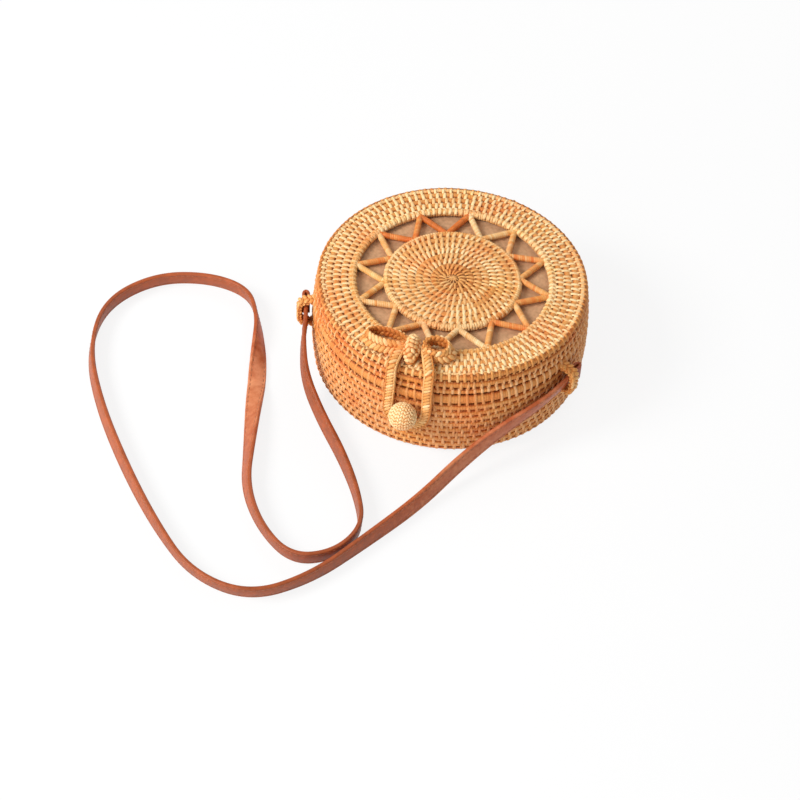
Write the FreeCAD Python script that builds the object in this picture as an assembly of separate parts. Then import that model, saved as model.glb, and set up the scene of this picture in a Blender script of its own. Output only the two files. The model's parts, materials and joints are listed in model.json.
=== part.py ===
import FreeCAD, Part
import math
import os

from FreeCAD import Vector

# Round coiled-grass shoulder bag with a hinged lid. Millimetres, +Z up.
# The bag stands on z = 0 with its axis on Z. The clasp faces -Y and the hinge is at +Y.

# Coiled shell: a barrel, widest a little below the middle
WIDEST_RADIUS = 100.0
WIDEST_HEIGHT = 36.0
BARREL_DROP = 1.2
BARREL_REACH = 23.4
WALL_THICKNESS = 7.0
ROW_GROOVE = 1.5
SEAT_GAP = 0.2

# Base
FLOOR_THICKNESS = 5.5
CORNER_ROW_HEIGHT = 5.8
CORNER_ROW_WIDTH = 5.6
BASE_ROW_HEIGHT = 5.6
BASE_ROWS = 8
RIM_ROW_HEIGHT = 9.0
SEAM_GAP = 0.4

# Lid
LID_ROW_HEIGHT = 5.8
LID_ROWS = 2
PLATE_THICKNESS = 5.6
EDGE_COIL_WIDTH = 6.0
EDGE_CREST_SHARE = 0.45
EDGE_SHOULDER_SHARE = 0.42
RING_WIDTH = 21.8
RING_ROWS = 4
OPENWORK_WIDTH = 20.0
DISC_ROWS = 9
SPOKE_POINTS = 12
SPOKE_DIAMETER = 4.6
SPOKE_PHASE_DEG = 22.0

# Cloth lining
LINING_THICKNESS = 1.0
LINING_RIM_LAP = 2.0

# Ball button on its stem
BALL_DIAMETER = 20.0
BALL_STANDOFF = 1.3
BALL_HEIGHT = 46.4
STEM_DIAMETER = 3.6
STEM_CLEARANCE = 0.1
STEM_DEPTH_IN_BALL = 8.0
STEM_KNOT_DIAMETER = 9.0
STEM_KNOT_THICKNESS = 3.0

# Clasp: plaited loop hung over the lid's edge
CLASP_GAP = 22.0
CLASP_BAND_WIDTH = 6.5
CLASP_BAND_THICKNESS = 4.5
CLASP_AXIS_STANDOFF = 3.2
CLASP_AXIS_BELOW_TOP = 3.6
CLASP_WALL_CLEARANCE = 0.1
CLASP_BALL_CLEARANCE = 0.8
CLASP_EYE_CLEARANCE = 0.35

# Bow on the lid
TAIL_THICKNESS = 4.0
TAIL_BEND_RADIUS = 6.2
TAIL_REACH = 6.5
KNOT_WIDTH = 12.0
KNOT_LENGTH = 25.0
KNOT_HEIGHT = 12.0
KNOT_SHOULDER_SHARE = 0.35
KNOT_EDGE_RADIUS = 3.5
KNOT_SETBACK = 18.8
KNOT_SIDE_SHIFT = -3.5
BOW_BAND_THICKNESS = 2.0
BOW_BAND_HEIGHT = 9.6
BOW_GAP = 0.25
BOW_LEFT_SETBACK = 17.4
BOW_LEFT_LENGTH = 30.6
BOW_LEFT_WIDTH = 16.6
BOW_LEFT_OPENING_LENGTH = 23.0
BOW_LEFT_OPENING_WIDTH = 6.4
BOW_RIGHT_SETBACK = 21.8
BOW_RIGHT_LENGTH = 22.0
BOW_RIGHT_WIDTH = 16.0
BOW_RIGHT_OPENING_LENGTH = 11.5
BOW_RIGHT_OPENING_WIDTH = 10.0

# Side loops that carry the strap
SIDE_LOOP_AZIMUTH_DEG = 70.0
SIDE_LOOP_HEIGHT = 43.6
SIDE_LOOP_OPENING_HEIGHT = 17.0
SIDE_LOOP_OPENING_DEPTH = 6.5
SIDE_LOOP_BAND_THICKNESS = 4.0
SIDE_LOOP_BAND_WIDTH = 6.0
SIDE_LOOP_CORNER_RADIUS = 5.0

# Hinge: two ties through both walls, round one axis at the back
HINGE_STANDOFF = 0.7
HINGE_TIE_SPACING = 32.0
HINGE_TIE_RADIUS = 9.5
HINGE_TIE_DIAMETER = 3.0
HINGE_TIE_CLEARANCE = 0.3

# Leather shoulder strap, a flat band on edge, with its ends folded behind the side loops
STRAP_WIDTH = 13.0
STRAP_THICKNESS = 3.0
STRAP_FOLD_LENGTH = 10.0
STRAP_FOLD_THICKNESS = 6.4
STRAP_FOLD_EYE_THICKNESS = 1.0
STRAP_BEND_SHARE = 0.45
STRAP_ROUTE = [
    (-99.1, -31.8, 44.5), (-94.8, -43.5, 43.5), (-90.0, -58.0, 36.0), (-82.0, -76.0, 19.0),
    (-65.5, -99.0, 6.6), (-40.0, -128.0, 6.6), (-17.5, -156.0, 6.6), (-2.0, -184.0, 6.6),
    (-13.5, -213.0, 6.6), (-41.0, -225.0, 6.6), (-74.0, -206.0, 6.6), (-97.0, -168.0, 6.6),
    (-109.0, -124.0, 6.6), (-120.0, -78.0, 6.6), (-134.0, -34.0, 6.6), (-155.0, 2.0, 6.6),
    (-190.0, 8.0, 6.6), (-228.0, -8.0, 6.6), (-250.0, -47.0, 6.6), (-246.0, -95.0, 6.6),
    (-216.0, -142.0, 6.6), (-173.0, -190.0, 6.6), (-133.0, -229.0, 6.6), (-96.0, -257.0, 6.6),
    (-55.0, -263.0, 6.6), (-21.5, -235.0, 6.6), (2.0, -192.5, 6.6), (26.0, -148.0, 6.8),
    (43.0, -111.0, 14.0), (62.0, -85.0, 26.0), (85.0, -61.0, 38.5), (94.8, -43.5, 42.5),
    (99.1, -31.8, 43.5),
]

# Cutting tools run past what they cut by this much
OVERRUN = 2.0

UP = Vector(0, 0, 1)
ACROSS = Vector(1, 0, 0)
BACK = Vector(0, 1, 0)
FULL_TURN_DEG = 360.0

wall_low = CORNER_ROW_HEIGHT
rim_low = wall_low + BASE_ROWS * BASE_ROW_HEIGHT
base_top = rim_low + RIM_ROW_HEIGHT
lid_low = base_top + SEAM_GAP
edge_low = lid_low + LID_ROWS * LID_ROW_HEIGHT
lid_top = edge_low + PLATE_THICKNESS
wall_inner_radius = WIDEST_RADIUS - WALL_THICKNESS
lining_radius = wall_inner_radius - SEAT_GAP
lining_inner_radius = lining_radius - LINING_THICKNESS


def wall_radius(height):
    """Outer radius of the barrel at a height."""
    return WIDEST_RADIUS - BARREL_DROP * ((height - WIDEST_HEIGHT) / BARREL_REACH) ** 2


edge_radius = wall_radius(edge_low + PLATE_THICKNESS * EDGE_SHOULDER_SHARE)
edge_inner_radius = edge_radius - EDGE_COIL_WIDTH
opening_radius = edge_inner_radius - RING_WIDTH
disc_radius = opening_radius - OPENWORK_WIDTH
knot_centre_radius = edge_radius - KNOT_SETBACK
ball_centre = Vector(0, -(wall_radius(BALL_HEIGHT) + BALL_STANDOFF + BALL_DIAMETER / 2), BALL_HEIGHT)
hinge_axis = Vector(0, wall_radius(base_top) + HINGE_STANDOFF, (base_top + lid_low) / 2)
clasp_axis = Vector(0, -(edge_radius + CLASP_AXIS_STANDOFF), lid_top - CLASP_AXIS_BELOW_TOP)


def profile_point(radius, height):
    return Vector(radius, 0, height)


def turned(edges):
    """Solid of revolution about Z from a closed profile in the XZ half plane."""
    face = Part.Face(Part.Wire(edges))
    return face.revolve(Vector(0, 0, 0), UP, FULL_TURN_DEG)


def line(start, end):
    return Part.LineSegment(start, end).toShape()


def arc(start, middle, end):
    return Part.Arc(start, middle, end).toShape()


def polyline(points):
    return [line(a, b) for a, b in zip(points, points[1:])]


def stacked_rows(low, rows, row_height):
    """Wall of coils laid on one another, each row bulging between two grooves."""
    edges = []
    start = profile_point(wall_radius(low) - ROW_GROOVE, low)
    first = start
    for row in range(rows):
        height = low + (row + 1) * row_height
        crest_height = height - row_height / 2
        crest = profile_point(wall_radius(crest_height), crest_height)
        end = profile_point(wall_radius(height) - ROW_GROOVE, height)
        edges.append(arc(start, crest, end))
        start = end
    top = low + rows * row_height
    inner_top = profile_point(wall_inner_radius, top)
    inner_low = profile_point(wall_inner_radius, low)
    return turned(edges + polyline([start, inner_top, inner_low, first]))


def flat_rows(inner_radius, outer_radius, rows, low, top):
    """Flat coiled plate whose rows bulge upwards between grooves."""
    pitch = (outer_radius - inner_radius) / rows
    edges = []
    start = profile_point(inner_radius, top - ROW_GROOVE)
    first = start
    for row in range(rows):
        radius = inner_radius + (row + 1) * pitch
        crest = profile_point(radius - pitch / 2, top)
        end = profile_point(radius, top - ROW_GROOVE)
        edges.append(arc(start, crest, end))
        start = end
    corners = [start, profile_point(outer_radius, low), profile_point(inner_radius, low), first]
    return turned(edges + polyline(corners))


def pipe(radius, inner_radius, low, height):
    outer = Part.makeCylinder(radius, height, Vector(0, 0, low))
    return outer.cut(Part.makeCylinder(inner_radius, height + OVERRUN * 2, Vector(0, 0, low - OVERRUN)))


def barrel_envelope(gap):
    """Smooth barrel that touches every wall row's crest, grown by a gap."""
    heights = [0, WIDEST_HEIGHT, base_top]
    rim = [profile_point(wall_radius(height) + gap, height) for height in heights]
    foot = profile_point(0, heights[0])
    head = profile_point(0, heights[-1])
    return turned([arc(*rim)] + polyline([rim[-1], head, foot, rim[0]]))


def hinge_tie(side, growth=0.0):
    centre = Vector(side * HINGE_TIE_SPACING / 2, hinge_axis.y, hinge_axis.z)
    return Part.makeTorus(HINGE_TIE_RADIUS, HINGE_TIE_DIAMETER / 2 + growth, centre, ACROSS)


def with_tie_holes(shape):
    for side in (-1, 1):
        shape = shape.cut(hinge_tie(side, HINGE_TIE_CLEARANCE))
    return shape


# Ball stem: through the base wall and lining, from the inner knot into the ball
stem_inner_y = -(lining_inner_radius - STEM_KNOT_THICKNESS)
stem_outer_y = ball_centre.y + BALL_DIAMETER / 2 - STEM_DEPTH_IN_BALL


def stem(growth=0.0):
    start = Vector(0, stem_inner_y + growth, BALL_HEIGHT)
    length = stem_inner_y - stem_outer_y + growth * 2
    return Part.makeCylinder(STEM_DIAMETER / 2 + growth, length, start, -BACK)


def make_base():
    corner_end = profile_point(wall_radius(wall_low) - ROW_GROOVE, wall_low)
    corner_start = profile_point(corner_end.x - CORNER_ROW_WIDTH, 0)
    diagonal = math.sin(math.pi / 4)
    corner_middle = profile_point(
        corner_start.x + CORNER_ROW_WIDTH * diagonal, wall_low * (1 - diagonal)
    )
    floor_outline = [
        corner_end,
        profile_point(wall_inner_radius, wall_low),
        profile_point(wall_inner_radius, FLOOR_THICKNESS),
        profile_point(0, FLOOR_THICKNESS),
        profile_point(0, 0),
        corner_start,
    ]
    floor = turned([arc(corner_start, corner_middle, corner_end)] + polyline(floor_outline))
    wall = stacked_rows(wall_low, BASE_ROWS, BASE_ROW_HEIGHT)
    rim = with_tie_holes(stacked_rows(rim_low, 1, RIM_ROW_HEIGHT))
    lining_low = FLOOR_THICKNESS + SEAT_GAP
    lining_floor = Part.makeCylinder(lining_radius, LINING_THICKNESS, Vector(0, 0, lining_low))
    lining_wall_low = lining_low + LINING_THICKNESS
    lining_height = rim_low + LINING_RIM_LAP - lining_wall_low
    lining_wall = pipe(lining_radius, lining_inner_radius, lining_wall_low, lining_height)
    return {
        "base_floor": floor,
        "base_wall": with_tie_holes(wall).cut(stem(STEM_CLEARANCE)),
        "base_rim_coil": rim.cut(stem(STEM_CLEARANCE)),
        "base_lining_floor": lining_floor,
        "base_lining_wall": with_tie_holes(lining_wall).cut(stem(STEM_CLEARANCE)),
    }


def make_lid():
    wall = with_tie_holes(stacked_rows(lid_low, LID_ROWS, LID_ROW_HEIGHT))
    foot_outer = profile_point(wall_radius(edge_low) - ROW_GROOVE, edge_low)
    foot_inner = profile_point(edge_inner_radius, edge_low)
    shoulder = profile_point(edge_radius, edge_low + PLATE_THICKNESS * EDGE_SHOULDER_SHARE)
    crest = profile_point(edge_inner_radius + EDGE_COIL_WIDTH * EDGE_CREST_SHARE, lid_top)
    groove = profile_point(edge_inner_radius, lid_top - ROW_GROOVE)
    edge = turned([arc(foot_outer, shoulder, crest)] + polyline([crest, groove, foot_inner, foot_outer]))
    panel_low = edge_low - SEAT_GAP - LINING_THICKNESS
    panel = Part.makeCylinder(lining_radius, LINING_THICKNESS, Vector(0, 0, panel_low))
    lining_low = lid_low + SEAM_GAP
    lining_wall = pipe(lining_radius, lining_inner_radius, lining_low, panel_low - SEAT_GAP - lining_low)
    return {
        "lid_wall": wall,
        "lid_edge_coil": edge,
        "lid_top_ring": flat_rows(opening_radius, edge_inner_radius, RING_ROWS, edge_low, lid_top),
        "lid_disc": flat_rows(0, disc_radius, DISC_ROWS, edge_low, lid_top),
        "lid_lining_panel": panel,
        "lid_lining_wall": with_tie_holes(lining_wall),
    }


def on_circle(radius, angle_deg, height):
    angle = math.radians(angle_deg)
    return Vector(radius * math.sin(angle), -radius * math.cos(angle), height)


def make_spoke(index):
    """One wrapped cane of the zigzag, mitred at both ends against its neighbours."""
    step = FULL_TURN_DEG / SPOKE_POINTS / 2
    height = edge_low + SPOKE_DIAMETER / 2 + SEAT_GAP
    inner_turn = SPOKE_PHASE_DEG + step * (index + index % 2)
    outer_turn = SPOKE_PHASE_DEG + step * (index + 1 - index % 2)
    inner = on_circle(disc_radius, inner_turn, height)
    outer = on_circle(opening_radius, outer_turn, height)
    along = (outer - inner).normalize()
    run = inner.distanceToPoint(outer) + SPOKE_DIAMETER * 2
    rod = Part.makeCylinder(SPOKE_DIAMETER / 2, run, inner - along * SPOKE_DIAMETER, along)
    reach = opening_radius - SEAT_GAP
    sector = pipe(reach, disc_radius + SEAT_GAP, edge_low, PLATE_THICKNESS)
    rod = rod.common(sector)
    # The mitre planes stand on the bag's axis, through the two points of the zigzag
    for turn, sign in ((inner_turn, 1), (outer_turn, -1)):
        side = sign if outer_turn > inner_turn else -sign
        keep = Part.makeBox(reach + OVERRUN, WIDEST_RADIUS, lid_top)
        keep.rotate(Vector(0, 0, 0), UP, turn - FULL_TURN_DEG / 4)
        if side < 0:
            keep.rotate(Vector(0, 0, 0), on_circle(1, turn, 0), FULL_TURN_DEG / 2)
            keep.translate(Vector(0, 0, lid_top))
        keep.translate(on_circle(SEAT_GAP / 2, turn + side * FULL_TURN_DEG / 4, 0))
        rod = rod.common(keep)
    return rod


def make_spokes():
    return Part.makeCompound([make_spoke(index) for index in range(SPOKE_POINTS * 2)])


def make_ball():
    ball = Part.makeSphere(BALL_DIAMETER / 2, ball_centre)
    knot_start = Vector(0, -lining_inner_radius + SEAT_GAP, BALL_HEIGHT)
    knot = Part.makeCylinder(STEM_KNOT_DIAMETER / 2, STEM_KNOT_THICKNESS, knot_start, BACK)
    sag = lining_inner_radius - math.sqrt(lining_inner_radius ** 2 - (STEM_KNOT_DIAMETER / 2) ** 2)
    knot.translate(BACK * sag)
    return {
        "ball_button": ball.cut(stem(STEM_CLEARANCE)),
        "ball_stem": stem(),
        "ball_knot": knot.cut(stem(STEM_CLEARANCE)),
    }


def make_clasp():
    """U of plaited band, hung from two round eyes on the clasp axis."""
    inner = CLASP_GAP / 2
    outer = inner + CLASP_BAND_WIDTH
    half = CLASP_BAND_THICKNESS / 2
    to_ball = (ball_centre - clasp_axis).Length + BALL_DIAMETER / 2
    turn_height = clasp_axis.z - to_ball - CLASP_BALL_CLEARANCE + inner
    front = Vector(0, clasp_axis.y - half, turn_height)

    def slot(radius, start, depth, top):
        rise = Part.makeBox(radius * 2, depth, top - turn_height, start - ACROSS * radius)
        return rise.fuse(Part.makeCylinder(radius, depth, start, BACK))

    band = slot(outer, front, CLASP_BAND_THICKNESS, clasp_axis.z)
    window_depth = CLASP_BAND_THICKNESS + OVERRUN * 2
    band = band.cut(slot(inner, front - BACK * OVERRUN, window_depth, clasp_axis.z + OVERRUN))
    for start in (-outer, inner):
        eye_start = Vector(start, clasp_axis.y, clasp_axis.z)
        band = band.fuse(Part.makeCylinder(half, CLASP_BAND_WIDTH, eye_start, ACROSS))
    band = band.removeSplitter()
    # The loop leans out just enough to clear the barrel's widest row
    clear_y = -(WIDEST_RADIUS + CLASP_WALL_CLEARANCE + half)
    lean = math.atan2(clasp_axis.y - clear_y, clasp_axis.z - WIDEST_HEIGHT)
    band.rotate(clasp_axis, ACROSS, -math.degrees(lean))
    return band


def make_tail(side):
    """Strand from the bow over the lid's edge to the clasp's eye."""
    inner_x = CLASP_GAP / 2
    bend = Vector(inner_x, clasp_axis.y + TAIL_BEND_RADIUS, clasp_axis.z)
    outer_radius = TAIL_BEND_RADIUS + TAIL_THICKNESS / 2
    inner_radius = outer_radius - TAIL_THICKNESS
    curve = Part.makeCylinder(outer_radius, CLASP_BAND_WIDTH, bend, ACROSS)
    curve = curve.cut(Part.makeCylinder(inner_radius, CLASP_BAND_WIDTH, bend, ACROSS))
    quarter = Part.makeBox(CLASP_BAND_WIDTH, outer_radius, outer_radius, bend - BACK * outer_radius)
    plate = Part.makeBox(CLASP_BAND_WIDTH, TAIL_REACH, TAIL_THICKNESS, bend + UP * inner_radius)
    eye_start = clasp_axis + ACROSS * (inner_x - OVERRUN)
    eye_radius = CLASP_BAND_THICKNESS / 2 + CLASP_EYE_CLEARANCE
    eye_length = CLASP_BAND_WIDTH + OVERRUN * 2
    eye = Part.makeCylinder(eye_radius, eye_length, eye_start, ACROSS)
    # Room for the loop when it is swung up level
    swing = Part.makeBox(eye_length, outer_radius, eye_radius, eye_start - BACK * outer_radius)
    tail = curve.common(quarter).fuse(plate).cut(eye).cut(swing).removeSplitter()
    return tail if side > 0 else tail.mirror(Vector(0, 0, 0), ACROSS)


def make_bow_loop(side, setback, length, width, opening_length, opening_width):
    """Oval ring of plaited band beside the knot, steep at the knot and the rear, spread at the other sides."""
    low = lid_top + SEAT_GAP
    start_x = KNOT_SIDE_SHIFT + side * (KNOT_WIDTH / 2 + BOW_GAP)
    rear_y = width / 2 - (edge_radius - setback)
    top_length = opening_length + BOW_BAND_THICKNESS * 2
    top_width = opening_width + BOW_BAND_THICKNESS * 2

    def oval(long, wide, trim, height):
        centre = Vector(start_x + side * long / 2, rear_y - wide / 2, height)
        return Part.Wire(Part.Ellipse(centre, long / 2 - trim, wide / 2 - trim).toShape())

    foot = oval(length, width, 0, low)
    brim = oval(top_length, top_width, 0, low + BOW_BAND_HEIGHT)
    opening = Part.Face(oval(top_length, top_width, BOW_BAND_THICKNESS, low - OVERRUN))
    band = Part.makeLoft([foot, brim], True, True)
    return band.cut(opening.extrude(UP * (BOW_BAND_HEIGHT + OVERRUN * 2)))


def make_knot():
    low = lid_top + SEAT_GAP
    shoulder = low + KNOT_HEIGHT * KNOT_SHOULDER_SHARE
    left = KNOT_SIDE_SHIFT - KNOT_WIDTH / 2
    front = -(knot_centre_radius + KNOT_LENGTH / 2)
    rear = -(knot_centre_radius - KNOT_LENGTH / 2)
    crest = Vector(left, -knot_centre_radius, low + KNOT_HEIGHT)
    front_low = Vector(left, front, low)
    rear_low = Vector(left, rear, low)
    front_high = Vector(left, front, shoulder)
    rear_high = Vector(left, rear, shoulder)
    edges = [arc(front_high, crest, rear_high)] + polyline([rear_high, rear_low, front_low, front_high])
    hump = Part.Face(Part.Wire(edges)).extrude(ACROSS * KNOT_WIDTH)
    flanks = [edge for edge in hump.Edges if edge.Curve.TypeId == "Part::GeomCircle"]
    return hump.makeFillet(KNOT_EDGE_RADIUS, flanks)


def make_side_loop(side):
    """Arched band on the wall. The strap lies between it and the wall."""
    half_opening = SIDE_LOOP_OPENING_HEIGHT / 2
    opening_y = -(WIDEST_RADIUS + SIDE_LOOP_OPENING_DEPTH)
    root_y = -(WIDEST_RADIUS - OVERRUN)

    def arch(growth, width, corner):
        depth = root_y - opening_y + growth
        height = SIDE_LOOP_OPENING_HEIGHT + growth * 2
        start = Vector(-width / 2, opening_y - growth, SIDE_LOOP_HEIGHT - half_opening - growth)
        block = Part.makeBox(width, depth, height, start)
        outer = [
            edge for edge in block.Edges
            if abs(edge.CenterOfMass.y - start.y) < SEAT_GAP and abs(edge.CenterOfMass.x) < SEAT_GAP
        ]
        return block.makeFillet(corner, outer)

    corner_inner = SIDE_LOOP_CORNER_RADIUS - SIDE_LOOP_BAND_THICKNESS / 2
    band = arch(SIDE_LOOP_BAND_THICKNESS, SIDE_LOOP_BAND_WIDTH, SIDE_LOOP_CORNER_RADIUS)
    band = band.cut(arch(0, SIDE_LOOP_BAND_WIDTH + OVERRUN * 2, corner_inner))
    band = band.cut(barrel_seat)
    band.rotate(Vector(0, 0, 0), UP, side * SIDE_LOOP_AZIMUTH_DEG)
    return band


def strap_path(points):
    """Straight runs joined by tangent arcs, each as large as its two runs allow."""
    edges = []
    radii = []
    start = points[0]
    for before, corner, after in zip(points, points[1:], points[2:]):
        into = corner - before
        out = after - corner
        setback = STRAP_BEND_SHARE * min(into.Length, out.Length)
        half_turn = into.getAngle(out) / 2
        into.normalize()
        out.normalize()
        radius = setback / math.tan(half_turn)
        inward = (out - into).normalize()
        centre = corner + inward * (radius / math.cos(half_turn))
        arc_start = corner - into * setback
        arc_end = corner + out * setback
        edges.append(line(start, arc_start))
        edges.append(arc(arc_start, centre - inward * radius, arc_end))
        radii.append(radius)
        start = arc_end
    edges.append(line(start, points[-1]))
    return Part.Wire(edges), radii


def heading(start, end):
    """Level direction from one point to another."""
    return Vector(end.x - start.x, end.y - start.y, 0).normalize()


def make_strap(points):
    path, radii = strap_path(points)
    sideways = heading(points[0], points[1]).cross(UP) * (STRAP_THICKNESS / 2)
    rise = UP * (STRAP_WIDTH / 2)
    corners = [
        points[0] + sideways + rise,
        points[0] - sideways + rise,
        points[0] - sideways - rise,
        points[0] + sideways - rise,
    ]
    sweep = Part.BRepOffsetAPI.MakePipeShell(path)
    sweep.setBiNormalMode(UP)
    sweep.add(Part.makePolygon(corners + corners[:1]))
    sweep.build()
    sweep.makeSolid()
    strap = sweep.shape()
    section_volume = STRAP_WIDTH * STRAP_THICKNESS * path.Length
    print("strap length", round(path.Length, 1), "volume over section times length",
          round(strap.Volume / section_volume, 4))
    print("strap bend radii", [round(radius) for radius in radii])
    return strap


def make_strap_fold(end, inside):
    """Strap end turned back on itself, with a small eye at the fold."""
    along = heading(inside, end)
    sideways = along.cross(UP)
    low = end - UP * (STRAP_WIDTH / 2)

    def stadium(start, length, thickness):
        half = sideways * (thickness / 2)
        far = start + along * (length - thickness / 2)
        tip = start + along * length
        edges = polyline([far - half, start - half, start + half, far + half])
        edges.append(arc(far + half, tip, far - half))
        return Part.Face(Part.Wire(edges)).extrude(UP * STRAP_WIDTH)

    wall = (STRAP_FOLD_THICKNESS - STRAP_FOLD_EYE_THICKNESS) / 2
    eye_length = STRAP_FOLD_LENGTH - wall * 2
    eye = stadium(low + along * wall, eye_length, STRAP_FOLD_EYE_THICKNESS)
    return stadium(low, STRAP_FOLD_LENGTH, STRAP_FOLD_THICKNESS).cut(eye)


barrel_seat = barrel_envelope(SEAT_GAP)
route = [Vector(*point) for point in STRAP_ROUTE]

parts = {}
parts.update(make_base())
parts.update(make_ball())
for name, side in (("left", -1), ("right", 1)):
    parts["side_loop_" + name] = make_side_loop(side)
    parts["hinge_tie_" + name] = hinge_tie(side)
    parts["bow_tail_" + name] = make_tail(side)
parts["shoulder_strap"] = make_strap(route)
parts["strap_fold_left"] = make_strap_fold(route[0], route[1])
parts["strap_fold_right"] = make_strap_fold(route[-1], route[-2])
parts.update(make_lid())
parts["lid_spokes"] = make_spokes()
parts["bow_loop_left"] = make_bow_loop(
    -1, BOW_LEFT_SETBACK, BOW_LEFT_LENGTH, BOW_LEFT_WIDTH, BOW_LEFT_OPENING_LENGTH, BOW_LEFT_OPENING_WIDTH
)
parts["bow_loop_right"] = make_bow_loop(
    1, BOW_RIGHT_SETBACK, BOW_RIGHT_LENGTH, BOW_RIGHT_WIDTH, BOW_RIGHT_OPENING_LENGTH, BOW_RIGHT_OPENING_WIDTH
)
parts["bow_knot"] = make_knot()
parts["clasp_loop"] = make_clasp()

os.makedirs("parts", exist_ok=True)
for name, shape in parts.items():
    shape.exportStep("parts/" + name + ".step")
    print(name, "solids", len(shape.Solids), "valid", shape.isValid(), "volume", round(shape.Volume))
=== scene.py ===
"""Round coiled-grass shoulder bag: its looks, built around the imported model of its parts."""

import json
import math
import random
from collections import namedtuple

import bmesh
import bpy
from bpy.props import FloatProperty, FloatVectorProperty, IntProperty, PointerProperty
from mathutils import Matrix, Vector, noise
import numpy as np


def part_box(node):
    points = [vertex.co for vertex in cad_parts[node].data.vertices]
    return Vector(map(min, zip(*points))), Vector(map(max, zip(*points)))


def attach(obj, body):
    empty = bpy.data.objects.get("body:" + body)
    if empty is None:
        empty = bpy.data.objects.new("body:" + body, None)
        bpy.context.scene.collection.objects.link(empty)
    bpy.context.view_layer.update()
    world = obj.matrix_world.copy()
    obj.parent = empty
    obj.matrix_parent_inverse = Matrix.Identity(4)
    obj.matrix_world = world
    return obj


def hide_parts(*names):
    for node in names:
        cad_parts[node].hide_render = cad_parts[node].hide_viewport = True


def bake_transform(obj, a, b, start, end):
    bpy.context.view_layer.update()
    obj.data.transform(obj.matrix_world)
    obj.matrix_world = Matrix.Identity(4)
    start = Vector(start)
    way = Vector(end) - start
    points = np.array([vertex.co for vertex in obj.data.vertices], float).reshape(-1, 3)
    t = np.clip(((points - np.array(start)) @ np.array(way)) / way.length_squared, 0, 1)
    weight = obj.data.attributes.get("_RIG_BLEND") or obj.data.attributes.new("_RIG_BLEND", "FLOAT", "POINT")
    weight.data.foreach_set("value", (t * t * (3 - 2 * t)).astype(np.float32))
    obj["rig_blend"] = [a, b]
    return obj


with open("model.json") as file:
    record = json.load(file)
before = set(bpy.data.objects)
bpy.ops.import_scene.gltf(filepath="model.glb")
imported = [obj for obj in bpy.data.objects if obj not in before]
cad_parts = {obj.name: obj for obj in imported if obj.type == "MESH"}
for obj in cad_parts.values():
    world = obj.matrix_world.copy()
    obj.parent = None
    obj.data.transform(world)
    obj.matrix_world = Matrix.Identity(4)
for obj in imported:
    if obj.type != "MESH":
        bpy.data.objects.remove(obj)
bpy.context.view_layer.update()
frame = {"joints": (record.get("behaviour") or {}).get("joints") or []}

bl_info = {
    "name": "Coiled grass bag",
    "version": (1, 0, 0),
    "blender": (4, 5, 0),
    "location": "3D View > Sidebar > Bag",
    "description": "Weaves, lines and straps a round coiled-grass shoulder bag",
    "category": "Object",
}

MM = 0.001
UP = Vector((0, 0, 1))
ORIGIN = Vector((0, 0, 0))
HALF_TURN = math.pi
FULL_TURN = 2 * math.pi

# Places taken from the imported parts
WALL_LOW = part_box("base_wall")[0].z
RIM_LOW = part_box("base_rim_coil")[0].z
BASE_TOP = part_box("base_rim_coil")[1].z
LID_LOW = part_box("lid_wall")[0].z
EDGE_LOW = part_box("lid_edge_coil")[0].z
LID_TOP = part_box("lid_edge_coil")[1].z
WIDEST_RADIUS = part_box("base_wall")[1].x
DISC_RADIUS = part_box("lid_disc")[1].x
RING_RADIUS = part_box("lid_top_ring")[1].x
EDGE_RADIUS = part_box("lid_edge_coil")[1].x

# Barrel shape and openwork, as in the parts
WIDEST_HEIGHT = 36.0 * MM
BARREL_DROP = 1.2 * MM
BARREL_REACH = 23.4 * MM
OPENWORK_WIDTH = 20.0 * MM
OPENING_RADIUS = DISC_RADIUS + OPENWORK_WIDTH
BASE_ROWS = 8
LID_ROWS = 2
RING_ROWS = 4
DISC_ROWS = 9
FLOOR_ROWS = 16
SPOKE_POINTS = 12
SPOKE_PHASE = math.radians(22.0)


def linear(hex_colour):
    """sRGB hex to linear RGBA."""
    channels = [int(hex_colour[start:start + 2], 16) / 255 for start in (0, 2, 4)]
    toe, knee = 0.04045, 12.92
    return [c / knee if c <= toe else ((c + 0.055) / 1.055) ** 2.4 for c in channels] + [1.0]


def colour_property(title, hex_colour):
    return FloatVectorProperty(
        name=title, description=title + " colour", default=linear(hex_colour)[:3],
        subtype="COLOR", min=0.0, max=1.0,
    )


def length_property(title, description, default):
    return FloatProperty(name=title, description=description, default=default, unit="LENGTH")


class BagWeaveSizes(bpy.types.PropertyGroup):
    """Sizes of the coil rows and of the strands sewn over them."""

    wall_spacing: length_property("Wall stitch spacing", "Step between stitches on a wall row", 6.1 * MM)
    lid_spacing: length_property("Lid wall spacing", "Step between stitches on the lid's wall", 5.3 * MM)
    wall_width: length_property("Wall stitch width", "Width of a stitch on the walls", 2.2 * MM)
    ring_spacing: length_property("Ring stitch spacing", "Step between stitches on the lid's ring", 4.9 * MM)
    ring_width: length_property("Ring stitch width", "Width of a stitch on the lid's ring", 2.5 * MM)
    wrap_spacing: length_property("Wrap spacing", "Step between the close wraps of a border", 1.9 * MM)
    strand: length_property("Strand thickness", "Thickness of a split grass strand", 0.85 * MM)
    core_sink: length_property("Core sink", "How far the cores lie below the rows' crests", 0.42 * MM)
    core_depth: length_property("Core depth", "Half the depth of a wall row's bundle", 3.1 * MM)
    plate_depth: length_property("Plate core depth", "Half the depth of a flat row's bundle", 2.35 * MM)
    unevenness: FloatProperty(
        name="Unevenness", description="How far stitches stray, as a share of their spacing",
        default=0.07, min=0.0, max=0.3, subtype="FACTOR",
    )
    seed: IntProperty(name="Seed", description="Start of the hand-made irregularities", default=7)


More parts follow.
